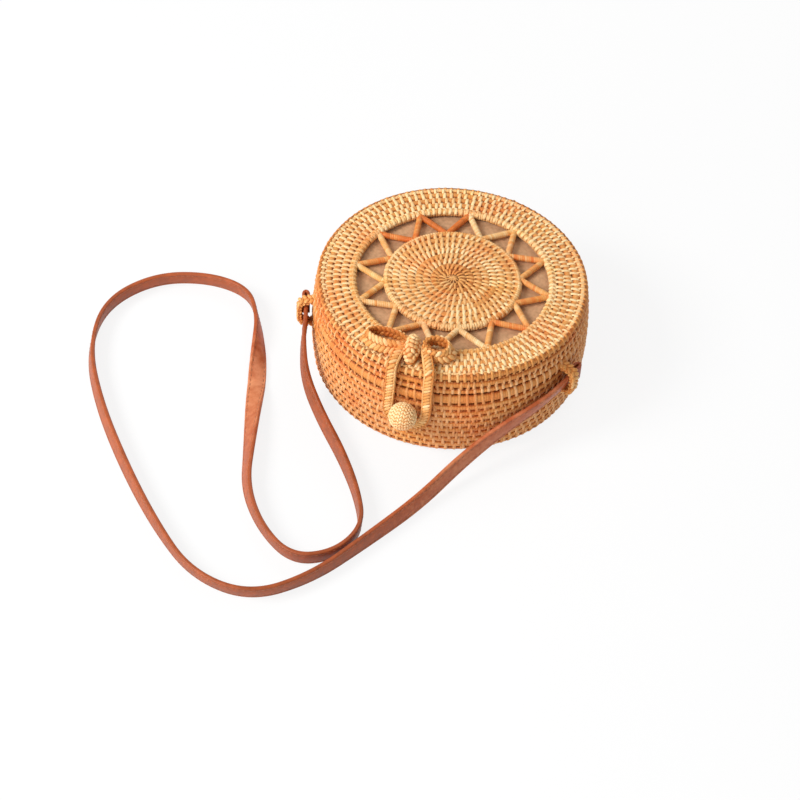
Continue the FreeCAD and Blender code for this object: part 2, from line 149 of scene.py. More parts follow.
class BagStrapSizes(bpy.types.PropertyGroup):
    """Sizes of the leather strap."""

    width: length_property("Strap width", "Width of the strap", 13.0 * MM)
    thickness: length_property("Strap thickness", "Thickness of the strap", 3.0 * MM)
    stitch_pitch: length_property("Seam stitch pitch", "Step between seam stitches", 4.2 * MM)
    seam_inset: length_property("Seam inset", "Distance of a seam from the strap's edge", 1.9 * MM)


class BagColours(bpy.types.PropertyGroup):
    """Colours of the bag's materials."""

    grass_dark: colour_property("Dark grass", "8C4612")
    grass_red: colour_property("Reddish grass", "CE7C38")
    grass_gold: colour_property("Golden grass", "E6A65E")
    grass_straw: colour_property("Straw", "FADAA4")
    smoked_dark: colour_property("Dark smoked grass", "7A380E")
    smoked_red: colour_property("Reddish smoked grass", "C0682A")
    smoked_gold: colour_property("Golden smoked grass", "DC8E46")
    smoked_straw: colour_property("Smoked straw", "EEB67E")
    # Darkest end of the cores' ramps, reached by the painted shade in the grooves, pits and seam
    groove_shade: colour_property("Dust in the grooves", "46220C")
    cane_red: colour_property("Red cane", "DC7430")
    cane_cream: colour_property("Cream cane", "F4DAA8")
    cloth: colour_property("Lining cloth", "C4966E")
    leather: colour_property("Strap leather", "B2582E")
    # Pale end of the leather's ramp, reached by scuffs and by the painted light on the strap
    leather_worn_and_lit: colour_property("Worn leather", "DE9468")
    thread: colour_property("Seam thread", "B87650")


def weave():
    return bpy.context.scene.bag_weave


def strap_sizes():
    return bpy.context.scene.bag_strap


def colour(name):
    return [*getattr(bpy.context.scene.bag_colours, name), 1.0]


# Materials


def set_inputs(tree, node, inputs=None, **links):
    """Sets a node's input values, and links sockets to inputs by name, or by number as in _0."""
    for name, value in (inputs or {}).items():
        node.inputs[name].default_value = value
    for name, socket in links.items():
        key = int(name[1:]) if name[1:].isdigit() else name.replace("_", " ")
        tree.links.new(socket, node.inputs[key])


def add_node(tree, kind, settings=None, inputs=None, **links):
    """Adds a shader node with its settings, input values and links."""
    node = tree.nodes.new("ShaderNode" + kind)
    for name, value in (settings or {}).items():
        setattr(node, name, value)
    set_inputs(tree, node, inputs, **links)
    return node


def new_material(name):
    """A material with its tree and shader, or the one made before, with neither."""
    material = bpy.data.materials.get(name)
    if material:
        return material, None, None
    material = bpy.data.materials.new(name)
    material.use_nodes = True
    tree = material.node_tree
    return material, tree, tree.nodes["Principled BSDF"]


def set_ramp(node, stops):
    ramp = node.color_ramp
    while len(ramp.elements) < len(stops):
        ramp.elements.new(1.0)
    for element, (place, shade) in zip(ramp.elements, stops):
        element.position = place
        element.color = shade


# Strands wound side by side in a turn of a row, about 2 mm apart on the walls
WRAPS_PER_TURN = 310
STRAND_ROUGHNESS = 0.52
CORE_ROUGHNESS = 0.58
CANE_ROUGHNESS = 0.48


def grass_material(name, stops, roughness, wraps=0):
    """Split ata grass, smoked to honey: satin strands with fine fibres, dull spots and warm patches."""
    material, tree, shader = new_material(name)
    if tree is None:
        return material
    tint = add_node(tree, "Attribute", {"attribute_name": "tint"})
    place = add_node(tree, "TexCoord").outputs["Object"]
    # Blotches about 12 mm across, and fibres drawn at 0.8 mm so that they show
    blotch = add_node(tree, "TexNoise", None, {"Scale": 85.0, "Detail": 2.0}, Vector=place)
    fibre = add_node(tree, "TexNoise", None, {"Scale": 1300.0, "Detail": 3.0}, Vector=place)
    stray = add_node(tree, "Math", {"operation": "MULTIPLY_ADD"}, {1: 0.34, 2: -0.17},
                     _0=blotch.outputs["Fac"])
    mixed = add_node(tree, "Math", {"operation": "ADD"}, _0=tint.outputs["Fac"], _1=stray.outputs[0])
    streak = add_node(tree, "Math", {"operation": "MULTIPLY_ADD"}, {1: 0.36, 2: -0.18},
                      _0=fibre.outputs["Fac"])
    shade = add_node(tree, "Math", {"operation": "ADD", "use_clamp": True},
                     _0=mixed.outputs[0], _1=streak.outputs[0])
    relief = fibre.outputs["Fac"]
    depth = 0.15 * MM
    if wraps:
        # Strands wound side by side across the row, a fixed number in a turn about the bag's axis
        around = add_node(tree, "TexGradient", {"gradient_type": "RADIAL"}, Vector=place)
        turned = add_node(tree, "Math", {"operation": "MULTIPLY"}, {1: FULL_TURN * wraps},
                          _0=around.outputs["Fac"])
        wave = add_node(tree, "Math", {"operation": "SINE"}, _0=turned.outputs[0])
        # Painted shade: each wrap is a little lighter along its crest and darker between wraps, in step with its
        # relief
        shade = add_node(tree, "Math", {"operation": "MULTIPLY_ADD", "use_clamp": True}, {1: 0.035},
                         _0=wave.outputs[0], _2=shade.outputs[0])
        relief = wave.outputs[0]
        depth = 0.25 * MM
    ramp = add_node(tree, "ValToRGB", Fac=shade.outputs[0])
    set_ramp(ramp, stops)
    # Smoking left reddish and yellowish patches about 30 mm across
    cloud = add_node(tree, "TexNoise", None, {"Scale": 34.0, "Detail": 2.0}, Vector=place)
    warmth = add_node(tree, "ValToRGB", Fac=cloud.outputs["Fac"])
    set_ramp(warmth, [(0.34, linear("FFE8DA")), (0.45, linear("FFFFFF")), (0.58, linear("FFFFFF")),
                      (0.7, linear("FFFAE6"))])
    warmed = add_node(tree, "Mix", {"data_type": "RGBA", "blend_type": "MULTIPLY"}, {0: 1.0},
                      _6=ramp.outputs["Color"], _7=warmth.outputs["Color"])
    bump = add_node(tree, "Bump", None, {"Strength": 0.35, "Distance": depth}, Height=relief)
    set_inputs(tree, shader, {"Roughness": roughness, "IOR": 1.48, "Specular IOR Level": 0.3},
               Base_Color=warmed.outputs[2], Normal=bump.outputs["Normal"])
    return material


def shades_of(*names):
    """Ramp stops from dark to pale for a grass."""
    return list(zip((0.0, 0.3, 0.62, 1.0), (colour(name) for name in names)))


def pale_strand():
    stops = shades_of("grass_dark", "grass_red", "grass_gold", "grass_straw")
    return grass_material("split_ata_grass", stops, STRAND_ROUGHNESS)


def pale_core():
    stops = shades_of("groove_shade", "grass_red", "grass_gold", "grass_straw")
    return grass_material("wrapped_ata_grass", stops, CORE_ROUGHNESS, WRAPS_PER_TURN)


def smoked_strand():
    stops = shades_of("smoked_dark", "smoked_red", "smoked_gold", "smoked_straw")
    return grass_material("smoked_split_grass", stops, STRAND_ROUGHNESS)


def smoked_core():
    stops = shades_of("groove_shade", "smoked_red", "smoked_gold", "smoked_straw")
    return grass_material("smoked_wrapped_grass", stops, CORE_ROUGHNESS, WRAPS_PER_TURN)


def cane_wrap():
    stops = shades_of("smoked_red", "cane_red", "grass_gold", "cane_cream")
    return grass_material("wrapped_cane_grass", stops, CANE_ROUGHNESS)


def lining_cotton():
    """Cotton twill, woven: matt, with diagonal ribs and a few slubs."""
    material, tree, shader = new_material("cotton_twill")
    if tree is None:
        return material
    place = add_node(tree, "TexCoord").outputs["Object"]
    # Twill ribs are about 0.5 mm apart; they are drawn at 0.8 mm so that they show
    turned = add_node(tree, "Mapping", None, {"Rotation": (0.6, 0.6, 0.8)}, Vector=place)
    ribs = add_node(tree, "TexWave", None,
                    {"Scale": 390.0, "Distortion": 2.5, "Detail": 2.0}, Vector=turned.outputs[0])
    slub = add_node(tree, "TexNoise", None, {"Scale": 420.0, "Detail": 4.0}, Vector=place)
    mixed = add_node(tree, "Math", {"operation": "MULTIPLY_ADD"}, {1: 0.25},
                     _0=ribs.outputs["Fac"], _2=slub.outputs["Fac"])
    ramp = add_node(tree, "ValToRGB", Fac=mixed.outputs[0])
    set_ramp(ramp, [(0.35, linear("AC8258")), (0.62, colour("cloth")), (0.9, linear("D0A478"))])
    bump = add_node(tree, "Bump", None, {"Strength": 0.3, "Distance": 0.12 * MM},
                    Height=ribs.outputs["Fac"])
    set_inputs(tree, shader, {"Roughness": 0.9, "Sheen Weight": 0.2},
               Base_Color=ramp.outputs["Color"], Normal=bump.outputs["Normal"])
    return material


def strap_leather():
    """Vegetable-tanned cowhide, finished: semi-gloss, with pebbled grain, paler scuffs and painted light from
    the strap's tint.
    """
    material, tree, shader = new_material("tanned_cowhide")
    if tree is None:
        return material
    place = add_node(tree, "TexCoord").outputs["Object"]
    # Grain cells about 1 mm across
    grain = add_node(tree, "TexVoronoi", None, {"Scale": 950.0}, Vector=place)
    scuff = add_node(tree, "TexNoise", None, {"Scale": 140.0, "Detail": 5.0, "Roughness": 0.65},
                     Vector=place)
    # The strap's tint carries painted light, and the scuffs from the noise are added to it
    tint_and_painted_light = add_node(tree, "Attribute", {"attribute_name": "tint"})
    scuffs_and_painted_light = add_node(tree, "Math", {"operation": "MULTIPLY_ADD"}, {1: 0.55},
                    _0=scuff.outputs["Fac"], _2=tint_and_painted_light.outputs["Fac"])
    ramp = add_node(tree, "ValToRGB", Fac=scuffs_and_painted_light.outputs[0])
    set_ramp(ramp, [(0.3, linear("8C431E")), (0.56, colour("leather")), (0.86, colour("leather_worn_and_lit"))])
    bump = add_node(tree, "Bump", None, {"Strength": 0.3, "Distance": 0.15 * MM},
                    Height=grain.outputs["Distance"])
    gloss = add_node(tree, "Math", {"operation": "MULTIPLY_ADD"}, {1: 0.3, 2: 0.32},
                     _0=scuff.outputs["Fac"])
    set_inputs(tree, shader, {"Specular IOR Level": 0.35}, Roughness=gloss.outputs[0],
               Base_Color=ramp.outputs["Color"], Normal=bump.outputs["Normal"])
    return material


def seam_thread():
    """Waxed polyester thread, twisted: a dull sheen and a slight mottle."""
    material, tree, shader = new_material("waxed_thread")
    if tree is None:
        return material
    place = add_node(tree, "TexCoord").outputs["Object"]
    mottle = add_node(tree, "TexNoise", None, {"Scale": 700.0}, Vector=place)
    ramp = add_node(tree, "ValToRGB", Fac=mottle.outputs["Fac"])
    set_ramp(ramp, [(0.3, linear("8E4E2E")), (0.7, colour("thread"))])
    set_inputs(tree, shader, {"Roughness": 0.55}, Base_Color=ramp.outputs["Color"])
    return material


# Mesh helpers


def start_mesh():
    bm = bmesh.new()
    bm.verts.layers.float.new("tint")
    return bm


def absorb(bm, part):
    """Adds a small finished bmesh to a piece's bmesh. Operators are far quicker on small meshes."""
    mesh = bpy.data.meshes.new("part")
    part.to_mesh(mesh)
    part.free()
    bm.from_mesh(mesh)
    bpy.data.meshes.remove(mesh)


def stamp(bm, mesh, place):
    """Adds a copy of a small mesh at a place."""
    mesh.transform(place)
    bm.from_mesh(mesh)
    mesh.transform(place.inverted())


def set_tint(bm, verts, tint):
    layer = bm.verts.layers.float["tint"]
    for vert in verts:
        vert[layer] = tint


def finish_piece(name, bm, materials, body, slot, *nodes):
    """Turns a bmesh into an object that rides on a body and stands for its CAD nodes."""
    bmesh.ops.recalc_face_normals(bm, faces=bm.faces)
    mesh = bpy.data.meshes.new(name)
    bm.to_mesh(mesh)
    bm.free()
    for material in materials:
        mesh.materials.append(material)
    mesh.shade_smooth()
    piece = bpy.data.objects.new(name, mesh)
    bpy.context.scene.collection.objects.link(piece)
    if body:
        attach(piece, body)
    if nodes:
        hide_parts(*nodes)
    return piece


def edges_of(verts):
    return list({edge for vert in verts for edge in vert.link_edges})


def oval_section(width, thickness, sides):
    """Points of an oval in the XY plane, width along X."""
    turns = [FULL_TURN * side / sides for side in range(sides)]
    return [Vector((math.cos(t) * width / 2, math.sin(t) * thickness / 2, 0)) for t in turns]


def frames_along(points, outwards, closed=False):
    """One frame per point: X across the strand, Y outwards, Z along it."""
    count = len(points)
    frames = []
    for index, point in enumerate(points):
        before = points[index - 1] if closed or index else point
        after = points[(index + 1) % count] if closed or index + 1 < count else point
        along = (after - before).normalized()
        across = outwards[index].cross(along).normalized()
        facing = along.cross(across)
        turned = Matrix((across, facing, along)).transposed().to_4x4()
        turned.translation = point
        frames.append(turned)
    return frames


def sweep(bm, section, frames, tint, material_index=0, closed=False):
    """Draws a section through frames by extruding it. Tint is one value, or a list with one per frame."""
    part = start_mesh()
    verts = [part.verts.new(frames[0] @ point) for point in section]
    first = [part.edges.new(pair) for pair in zip(verts, verts[1:] + verts[:1])]
    edges = first
    for before, after in zip(frames, frames[1:]):
        grown = bmesh.ops.extrude_edge_only(part, edges=edges)["geom"]
        edges = [item for item in grown if isinstance(item, bmesh.types.BMEdge)]
        verts = [item for item in grown if isinstance(item, bmesh.types.BMVert)]
        bmesh.ops.transform(part, matrix=after @ before.inverted(), verts=verts)
    if closed:
        bmesh.ops.bridge_loops(part, edges=first + edges)
    else:
        bmesh.ops.edgeloop_fill(part, edges=first)
        bmesh.ops.edgeloop_fill(part, edges=edges)
    for face in part.faces:
        face.material_index = material_index
    tints = tint if isinstance(tint, list) else [tint] * len(frames)
    layer = part.verts.layers.float["tint"]
    for index, vert in enumerate(part.verts):
        vert[layer] = tints[index // len(section)]
    absorb(bm, part)


def smooth_line(points, resolution=8):
    """Points along a smooth spline whose control points are given."""
    curve = bpy.data.curves.new("line", "CURVE")
    curve.dimensions = "3D"
    curve.resolution_u = resolution
    spline = curve.splines.new("NURBS")
    spline.points.add(len(points) - 1)
    for place, point in zip(spline.points, points):
        place.co = (*point, 1.0)
    spline.order_u = 3
    spline.use_endpoint_u = True
    carrier = bpy.data.objects.new("line", curve)
    bpy.context.scene.collection.objects.link(carrier)
    mesh = bpy.data.meshes.new_from_object(carrier)
    line = [vert.co.copy() for vert in mesh.vertices]
    bpy.data.objects.remove(carrier)
    bpy.data.curves.remove(curve)
    bpy.data.meshes.remove(mesh)
    return line


def lengths_along(points):
    """Distance of each point from the first, along the line."""
    total = [0.0]
    for before, after in zip(points, points[1:]):
        total.append(total[-1] + (after - before).length)
    return total


def even_line(points, step, closed=False):
    """The same line with its points an even step apart."""
    if closed:
        points = points + points[:1]
    travelled = lengths_along(points)
    count = max(4, round(travelled[-1] / step))
    line = []
    at = 0
    for index in range(count + (0 if closed else 1)):
        target = travelled[-1] * index / count
        while at < len(points) - 2 and travelled[at + 1] < target:
            at += 1
        gap = travelled[at + 1] - travelled[at]
        line.append(points[at].lerp(points[at + 1], (target - travelled[at]) / gap if gap else 0.0))
    return line


# Coiled grass

Row = namedtuple("Row", "radius height facing depth rise")

# How stitches are laid on a row: their width, their shift towards the next row and their length as
# shares of the row's rise, their lean and their waviness
Sewing = namedtuple("Sewing", "width lap stretch slant sway", defaults=(0.0, 1.0, 0.0, 0.0))

# Shares of a row's depth for the painted shade in its groove: dark below the first and lit a further share above
GROOVE_SHARE = 0.28
LIT_SHARE = 0.36
# The same for the painted shade on the side that meets the next row, where pits are left between stitches, and
# the painted shade tint of the pits
PIT_SHARE = 0.67
PIT_LIT_SHARE = 0.16
PIT_TINT = 0.16
# Painted shade tint of the grooves at the seam between base and lid, where no next row covers them
BARE_TINT = 0.04

# Steps round a full row, round the rim of the disc and round the smallest row
ROW_STEPS = 160
DISC_STEPS = 120
FEWEST_STEPS = 24
FEWEST_STITCHES = 5
# Rows are a little taller than their share of the height, so that they press on one another
PRESS_SHARE = 1.06
# The two rows at the seam are drawn in, so that the seam stays open
RIM_RISE_SHARE = 0.94
LID_RISE_SHARE = 0.88
# Stitches on the walls reach down over the next row and lean a little, and those on the lid's ring sway
WALL_LAP = -0.45
WALL_STRETCH = 1.35
WALL_SLANT = 0.06
RING_SLANT = -0.1
RING_SWAY = 0.2
# Tints of the rows' cores, from 0 for the darkest grass to 1 for straw: the middle one and its spread
WALL_TINTS = (0.74, 0.04)
FLOOR_TINTS = (0.5, 0.08)
LID_TINTS = (0.64, 0.04)
RING_TINTS = (0.52, 0.04)
# Middle line of the wrapped borders, from the edges of the openwork
BORDER_INSET = 1.7 * MM


def row_places(row):
    """Rotation that turns a row's outward side from +X to the way that it faces."""
    return Matrix.Rotation(-row.facing, 4, "Y")


def coil_row(bm, row, tint, steps=ROW_STEPS, pitted=False, bare=0):
    """One row of the coil: grass bent into a ring, bare above (1), below (-1) or on neither side (0)."""
    sides = 16
    part = start_mesh()
    verts = bmesh.ops.create_circle(part, cap_ends=False, segments=sides, radius=1.0)["verts"]
    upright = Matrix.Rotation(HALF_TURN / 2, 4, "X")
    sized = Matrix.Diagonal((row.depth, 1.0, row.rise, 1.0))
    place = Matrix.Translation((row.radius, 0, row.height)) @ row_places(row)
    bmesh.ops.transform(part, matrix=place @ sized @ upright, verts=verts)
    bmesh.ops.spin(part, geom=verts + edges_of(verts), cent=ORIGIN, axis=UP, angle=FULL_TURN,
                   steps=steps, use_merge=True)
    # Painted shade: the tint is darkened in the grooves between the rows, in the pits between stitches and at
    # the open seam, where shade falls
    layer = part.verts.layers.float["tint"]
    outward = row_places(row).to_3x3() @ Vector((1, 0, 0))
    upward = row_places(row).to_3x3() @ UP
    for vert in part.verts:
        flat = Vector((math.hypot(vert.co.x, vert.co.y) - row.radius, 0, vert.co.z - row.height))
        share = abs(flat.dot(outward)) / row.depth
        dark, lit, floor = GROOVE_SHARE, LIT_SHARE, 0.0
        if bare * flat.dot(upward) > 0:
            floor = BARE_TINT
        elif pitted and flat.dot(upward) > 0:
            dark, lit, floor = PIT_SHARE, PIT_LIT_SHARE, PIT_TINT
        light = min(1.0, max(0.0, (share - dark) / lit))
        vert[layer] = tint * light + floor * (1.0 - light)
    absorb(bm, part)


def stitch(bm, row, sewing):
    """One strand bent over a row, shifted along the stack so that it reaches the next row."""
    sides, bends = 6, 6
    reach = math.radians(168.0)
    thickness = weave().strand
    verts = bmesh.ops.create_circle(bm, cap_ends=False, segments=sides, radius=0.5)["verts"]
    bmesh.ops.scale(bm, vec=(thickness, sewing.width, 1.0), verts=verts)
    start = Matrix.Rotation(reach / 2, 4, "Y") @ Matrix.Translation((row.depth, 0, 0))
    bmesh.ops.transform(bm, matrix=start, verts=verts)
    first = edges_of(verts)
    spun = bmesh.ops.spin(bm, geom=verts + first, cent=ORIGIN, axis=(0, 1, 0), angle=-reach, steps=bends)
    last = [item for item in spun["geom_last"] if isinstance(item, bmesh.types.BMEdge)]
    bmesh.ops.edgeloop_fill(bm, edges=first)
    bmesh.ops.edgeloop_fill(bm, edges=last)
    sized = Matrix.Diagonal((1.0, 1.0, row.rise / row.depth * sewing.stretch, 1.0))
    shifted = Matrix.Translation((0, 0, sewing.lap * row.rise))
    place = Matrix.Translation((row.radius, 0, row.height)) @ row_places(row)
    bmesh.ops.transform(bm, matrix=place @ shifted @ sized, verts=bm.verts)


def strand_tints(rng, count, middle, spread):
    """Shades of a row of stitches. One strand of grass lasts a while, so they change in runs."""
    shortest, longest = 6, 26
    flicker = spread * 0.35
    tints = []
    while len(tints) < count:
        run = rng.randint(shortest, longest)
        shade = rng.gauss(middle, spread)
        tints += [shade + rng.gauss(0, flicker) for _ in range(run)]
    return tints[:count]


def stitch_row(bm, rng, row, count, sewing, start=0.0, middle=0.92, spread=0.1):
    """A ring of stitches sewn over one row from a start angle, each a little out of true."""
    part = start_mesh()
    stitch(part, row, sewing)
    per_stitch = len(part.verts)
    for face in part.faces:
        face.material_index = 1
    step = FULL_TURN / count
    bmesh.ops.spin(part, geom=part.verts[:] + part.edges[:] + part.faces[:], cent=ORIGIN, axis=UP,
                   angle=step * (count - 1), steps=count - 1, use_duplicate=True)
    part.verts.ensure_lookup_table()
    outward = row_places(row).to_3x3() @ Vector((1, 0, 0))
    stray = weave().unevenness * step
    lean_stray = 0.05
    proud_stray = 0.12 * weave().strand
    waves_per_turn = 3
    for number, tint in enumerate(strand_tints(rng, count, middle, spread)):
        verts = part.verts[number * per_stitch:(number + 1) * per_stitch]
        turn = Matrix.Rotation(step * number, 4, "Z")
        centre = turn @ Vector((row.radius, 0, row.height))
        lean = Matrix.Rotation(sewing.slant + rng.gauss(0, lean_stray), 4, turn.to_3x3() @ outward)
        swing = sewing.sway * step * math.sin(waves_per_turn * step * number + row.radius / MM)
        nudge = Matrix.Rotation(start + swing + rng.gauss(0, stray), 4, "Z")
        proud = Matrix.Translation(turn.to_3x3() @ outward * rng.uniform(-proud_stray, proud_stray))
        about = Matrix.Translation(centre) @ lean @ Matrix.Translation(-centre)
        bmesh.ops.transform(part, matrix=nudge @ proud @ about, verts=verts)
        set_tint(part, verts, tint)
    absorb(bm, part)


def wall_radius(height):
    """Outer radius of the barrel at a height."""
    return WIDEST_RADIUS - BARREL_DROP * ((height - WIDEST_HEIGHT) / BARREL_REACH) ** 2


def wall_row(low, high):
    """Core of a wall row between two heights, with its stitches about flush with the barrel."""
    height = (low + high) / 2
    depth = weave().core_depth
    radius = wall_radius(height) - weave().core_sink - depth
    return Row(radius, height, 0.0, depth, (high - low) / 2 * PRESS_SHARE)


def flat_row(inner, outer, face_height, upwards):
    """Core of a row lying in a flat plate between two radii."""
    depth = weave().plate_depth
    sink = weave().core_sink + depth
    height = face_height - sink if upwards else face_height + sink
    facing = HALF_TURN / 2 if upwards else -HALF_TURN / 2
    return Row((inner + outer) / 2, height, facing, depth, (outer - inner) / 2 * PRESS_SHARE)


def stitch_count(radius, spacing):
    return max(FEWEST_STITCHES, round(FULL_TURN * radius / spacing))


def even_rows(low, high, rows):
    """Limits of equal rows between two places."""
    step = (high - low) / rows
    return [(low + step * row, low + step * (row + 1)) for row in range(rows)]


class BAG_OT_coiled_wall(bpy.types.Operator):
    """Weave the base's wall and its rim row"""

    bl_idname = "bag.coiled_wall"
    bl_label = "Base wall"

    def execute(self, context):
        sizes = weave()
        rng = random.Random(sizes.seed)
        looks = [smoked_core(), smoked_strand()]
        bm = start_mesh()
        count = stitch_count(WIDEST_RADIUS, sizes.wall_spacing)
        step = FULL_TURN / count
        for number, (low, high) in enumerate(even_rows(WALL_LOW, RIM_LOW, BASE_ROWS)):
            row = wall_row(low, high)
            coil_row(bm, row, rng.gauss(*WALL_TINTS), pitted=True)
            # Stitches stand between those of the row below, and creep on from row to row
            start = step * (0.5 * (number % 2) + 0.1 * number)
            sewing = Sewing(sizes.wall_width, WALL_LAP, WALL_STRETCH, WALL_SLANT)
            stitch_row(bm, rng, row, count, sewing, start)
        finish_piece("coiled_wall", bm, looks, "base", "coiled_wall", "base_wall")
        bm = start_mesh()
        row = wall_row(RIM_LOW, BASE_TOP)._replace(rise=(BASE_TOP - RIM_LOW) / 2 * RIM_RISE_SHARE)
        coil_row(bm, row, tint=0.64, bare=1)
        stitch_row(bm, rng, row, count, Sewing(sizes.wall_width, -0.3, 1.4, WALL_SLANT))
        inside = row._replace(facing=HALF_TURN)
        stitch_row(bm, rng, inside, count, Sewing(sizes.wall_width * 0.9))
        finish_piece("rim_coil", bm, looks, "base", "coiled_wall", "base_rim_coil")
        return {"FINISHED"}


class BAG_OT_coiled_floor(bpy.types.Operator):
    """Weave the base's floor and its corner row"""

    bl_idname = "bag.coiled_floor"
    bl_label = "Base floor"

    def execute(self, context):
        sizes = weave()
        rng = random.Random(sizes.seed + 1)
        looks = [smoked_core(), smoked_strand()]
        bm = start_mesh()
        corner_inset = 8.5 * MM
        flat_radius = WIDEST_RADIUS - corner_inset
        for inner, outer in even_rows(0.0, flat_radius, FLOOR_ROWS):
            row = flat_row(inner, outer, 0.0, False)
            steps = max(FEWEST_STEPS, round(ROW_STEPS * outer / flat_radius))
            coil_row(bm, row, rng.gauss(*FLOOR_TINTS), steps)
            count = stitch_count(row.radius, sizes.ring_spacing)
            sewing = Sewing(sizes.wall_width, lap=-0.4, stretch=1.4, slant=0.1)
            stitch_row(bm, rng, row, count, sewing, rng.random())
        corner = Row(radius=flat_radius + 2.1 * MM, height=3.7 * MM, facing=math.radians(-42.0),
                     depth=2.7 * MM, rise=3.1 * MM)
        coil_row(bm, corner, tint=0.5)
        count = stitch_count(WIDEST_RADIUS, sizes.wall_spacing)
        stitch_row(bm, rng, corner, count, Sewing(sizes.wall_width, 0.1, 1.1, WALL_SLANT))
        finish_piece("coiled_floor", bm, looks, "base", "coiled_wall", "base_floor")
        return {"FINISHED"}


class BAG_OT_coiled_lid(bpy.types.Operator):
    """Weave the lid's wall, its rounded edge, the flat ring and the spiral disc"""

    bl_idname = "bag.coiled_lid"
    bl_label = "Lid"

    def execute(self, context):
        rng = random.Random(weave().seed + 2)
        self.add_wall(rng)
        self.add_edge(rng)
        self.add_ring(rng)
        self.add_disc(rng)
        return {"FINISHED"}

    def add_wall(self, rng):
        """The lowest row, bound inside and out along the seam, and the rows sewn down to it."""
        sizes = weave()
        looks = [smoked_core(), smoked_strand()]
        bm = start_mesh()
        count = stitch_count(WIDEST_RADIUS, sizes.lid_spacing)
        shade = 0.8
        for number, (low, high) in enumerate(even_rows(LID_LOW, EDGE_LOW, LID_ROWS)):
            row = wall_row(low, high)
            sewing = Sewing(sizes.wall_width, WALL_LAP, WALL_STRETCH)
            at_seam = number == 0
            if at_seam:
                row = row._replace(rise=(high - low) / 2 * LID_RISE_SHARE)
                sewing = Sewing(sizes.wall_width)
            coil_row(bm, row, rng.gauss(*LID_TINTS), pitted=True, bare=-1 if at_seam else 0)
            stitch_row(bm, rng, row, count, sewing, middle=shade)
            if at_seam:
                stitch_row(bm, rng, row._replace(facing=HALF_TURN), count, sewing, middle=shade)
        finish_piece("lid_wall_rows", bm, looks, "lid", "coiled_wall", "lid_wall")

    def add_edge(self, rng):
        """The lid's corner: a row that ends the wall and a pale row that ends the ring."""
        sizes = weave()
        bm = start_mesh()
        depth = sizes.core_depth
        middle = (EDGE_LOW + LID_TOP) / 2
        upright = Row(radius=EDGE_RADIUS - depth - sizes.core_sink, height=middle, facing=math.radians(6.0),
                      depth=depth, rise=2.4 * MM)
        coil_row(bm, upright, tint=0.42, pitted=True)
        count = stitch_count(WIDEST_RADIUS, sizes.lid_spacing)
        sewing = Sewing(sizes.wall_width, lap=-0.3, stretch=1.4)
        stitch_row(bm, rng, upright, count, sewing, HALF_TURN / count, middle=0.56)
        corner_inset = 1.6 * MM
        level = flat_row(RING_RADIUS, EDGE_RADIUS - corner_inset, LID_TOP, True)
        level = level._replace(facing=math.radians(84.0), depth=1.8 * MM, height=LID_TOP - 2.1 * MM)
        coil_row(bm, level, tint=0.78)
        sewing = Sewing(sizes.ring_width * 0.8, 0.42, 1.2, RING_SLANT, RING_SWAY)
        stitch_row(bm, rng, level, self.ring_count(), sewing, middle=0.96)
        finish_piece("lid_edge_row", bm, [pale_core(), pale_strand()], "lid", "coiled_lid", "lid_edge_coil")

    def ring_count(self):
        return stitch_count((OPENING_RADIUS + EDGE_RADIUS) / 2, weave().ring_spacing)

    def add_border(self, bm, rng, radius, facing):
        """A thin bundle along a cut edge, closely wrapped."""
        border = Row(radius, LID_TOP - 2.6 * MM, facing, depth=1.6 * MM, rise=2.2 * MM)
        coil_row(bm, border, tint=0.6, steps=DISC_STEPS)
        spacing = weave().wrap_spacing
        stitch_row(bm, rng, border, stitch_count(radius, spacing), Sewing(spacing * 0.92), middle=0.74)

    def add_ring(self, rng):
        """Four rows whose stitches stand nearly in line."""
        sizes = weave()
        bm = start_mesh()
        count = self.ring_count()
        step = FULL_TURN / count
        for number, (inner, outer) in enumerate(even_rows(OPENING_RADIUS, RING_RADIUS, RING_ROWS)):
            row = flat_row(inner, outer, LID_TOP, True)
            coil_row(bm, row, rng.gauss(*RING_TINTS), pitted=True)
            # The innermost row has no row to be sewn to
            lap = 0.36 if number else 0.04
            start = -step * 0.3 * (RING_ROWS - number)
            sewing = Sewing(sizes.ring_width, lap, 1.0 + lap, RING_SLANT, RING_SWAY)
            stitch_row(bm, rng, row, count, sewing, start, middle=0.86)
        self.add_border(bm, rng, OPENING_RADIUS + BORDER_INSET, math.radians(150.0))
        finish_piece("lid_ring_rows", bm, [pale_core(), pale_strand()], "lid", "coiled_lid", "lid_top_ring")

    def add_disc(self, rng):
        """Rows from the middle outwards, with each stitch split by the next so that they swirl."""
        sizes = weave()
        bm = start_mesh()
        # Stitches in each row from the middle outwards, with the tints of its core and of its stitches
        counts = (12, 16, 22, 28, 38, 50, 54, 56, 60)
        cores = (0.12, 0.18, 0.28, 0.38, 0.46, 0.5, 0.52, 0.52, 0.54)
        middles = (0.8, 0.6, 0.62, 0.7, 0.78, 0.84, 0.84, 0.84, 0.84)
        slant = math.radians(-16.0)
        lap = 0.34
        width_share = 0.56
        start = 0.0
        rows = even_rows(0.0, DISC_RADIUS, DISC_ROWS)
        for (inner, outer), count, core, middle in zip(rows, counts, cores, middles):
            row = flat_row(inner, outer, LID_TOP, True)
            steps = max(FEWEST_STEPS, round(DISC_STEPS * outer / DISC_RADIUS))
            coil_row(bm, row, core, steps, pitted=True)
            width = min(FULL_TURN * row.radius / count * width_share, sizes.ring_width)
            sewing = Sewing(width, lap, 1.0 + lap, slant)
            stitch_row(bm, rng, row, count, sewing, start, middle, spread=0.12)
            start += math.tan(slant) * (outer - inner) / outer
        self.add_border(bm, rng, DISC_RADIUS - BORDER_INSET, math.radians(30.0))
        finish_piece("lid_disc_rows", bm, [pale_core(), pale_strand()], "lid", "coiled_lid", "lid_disc")


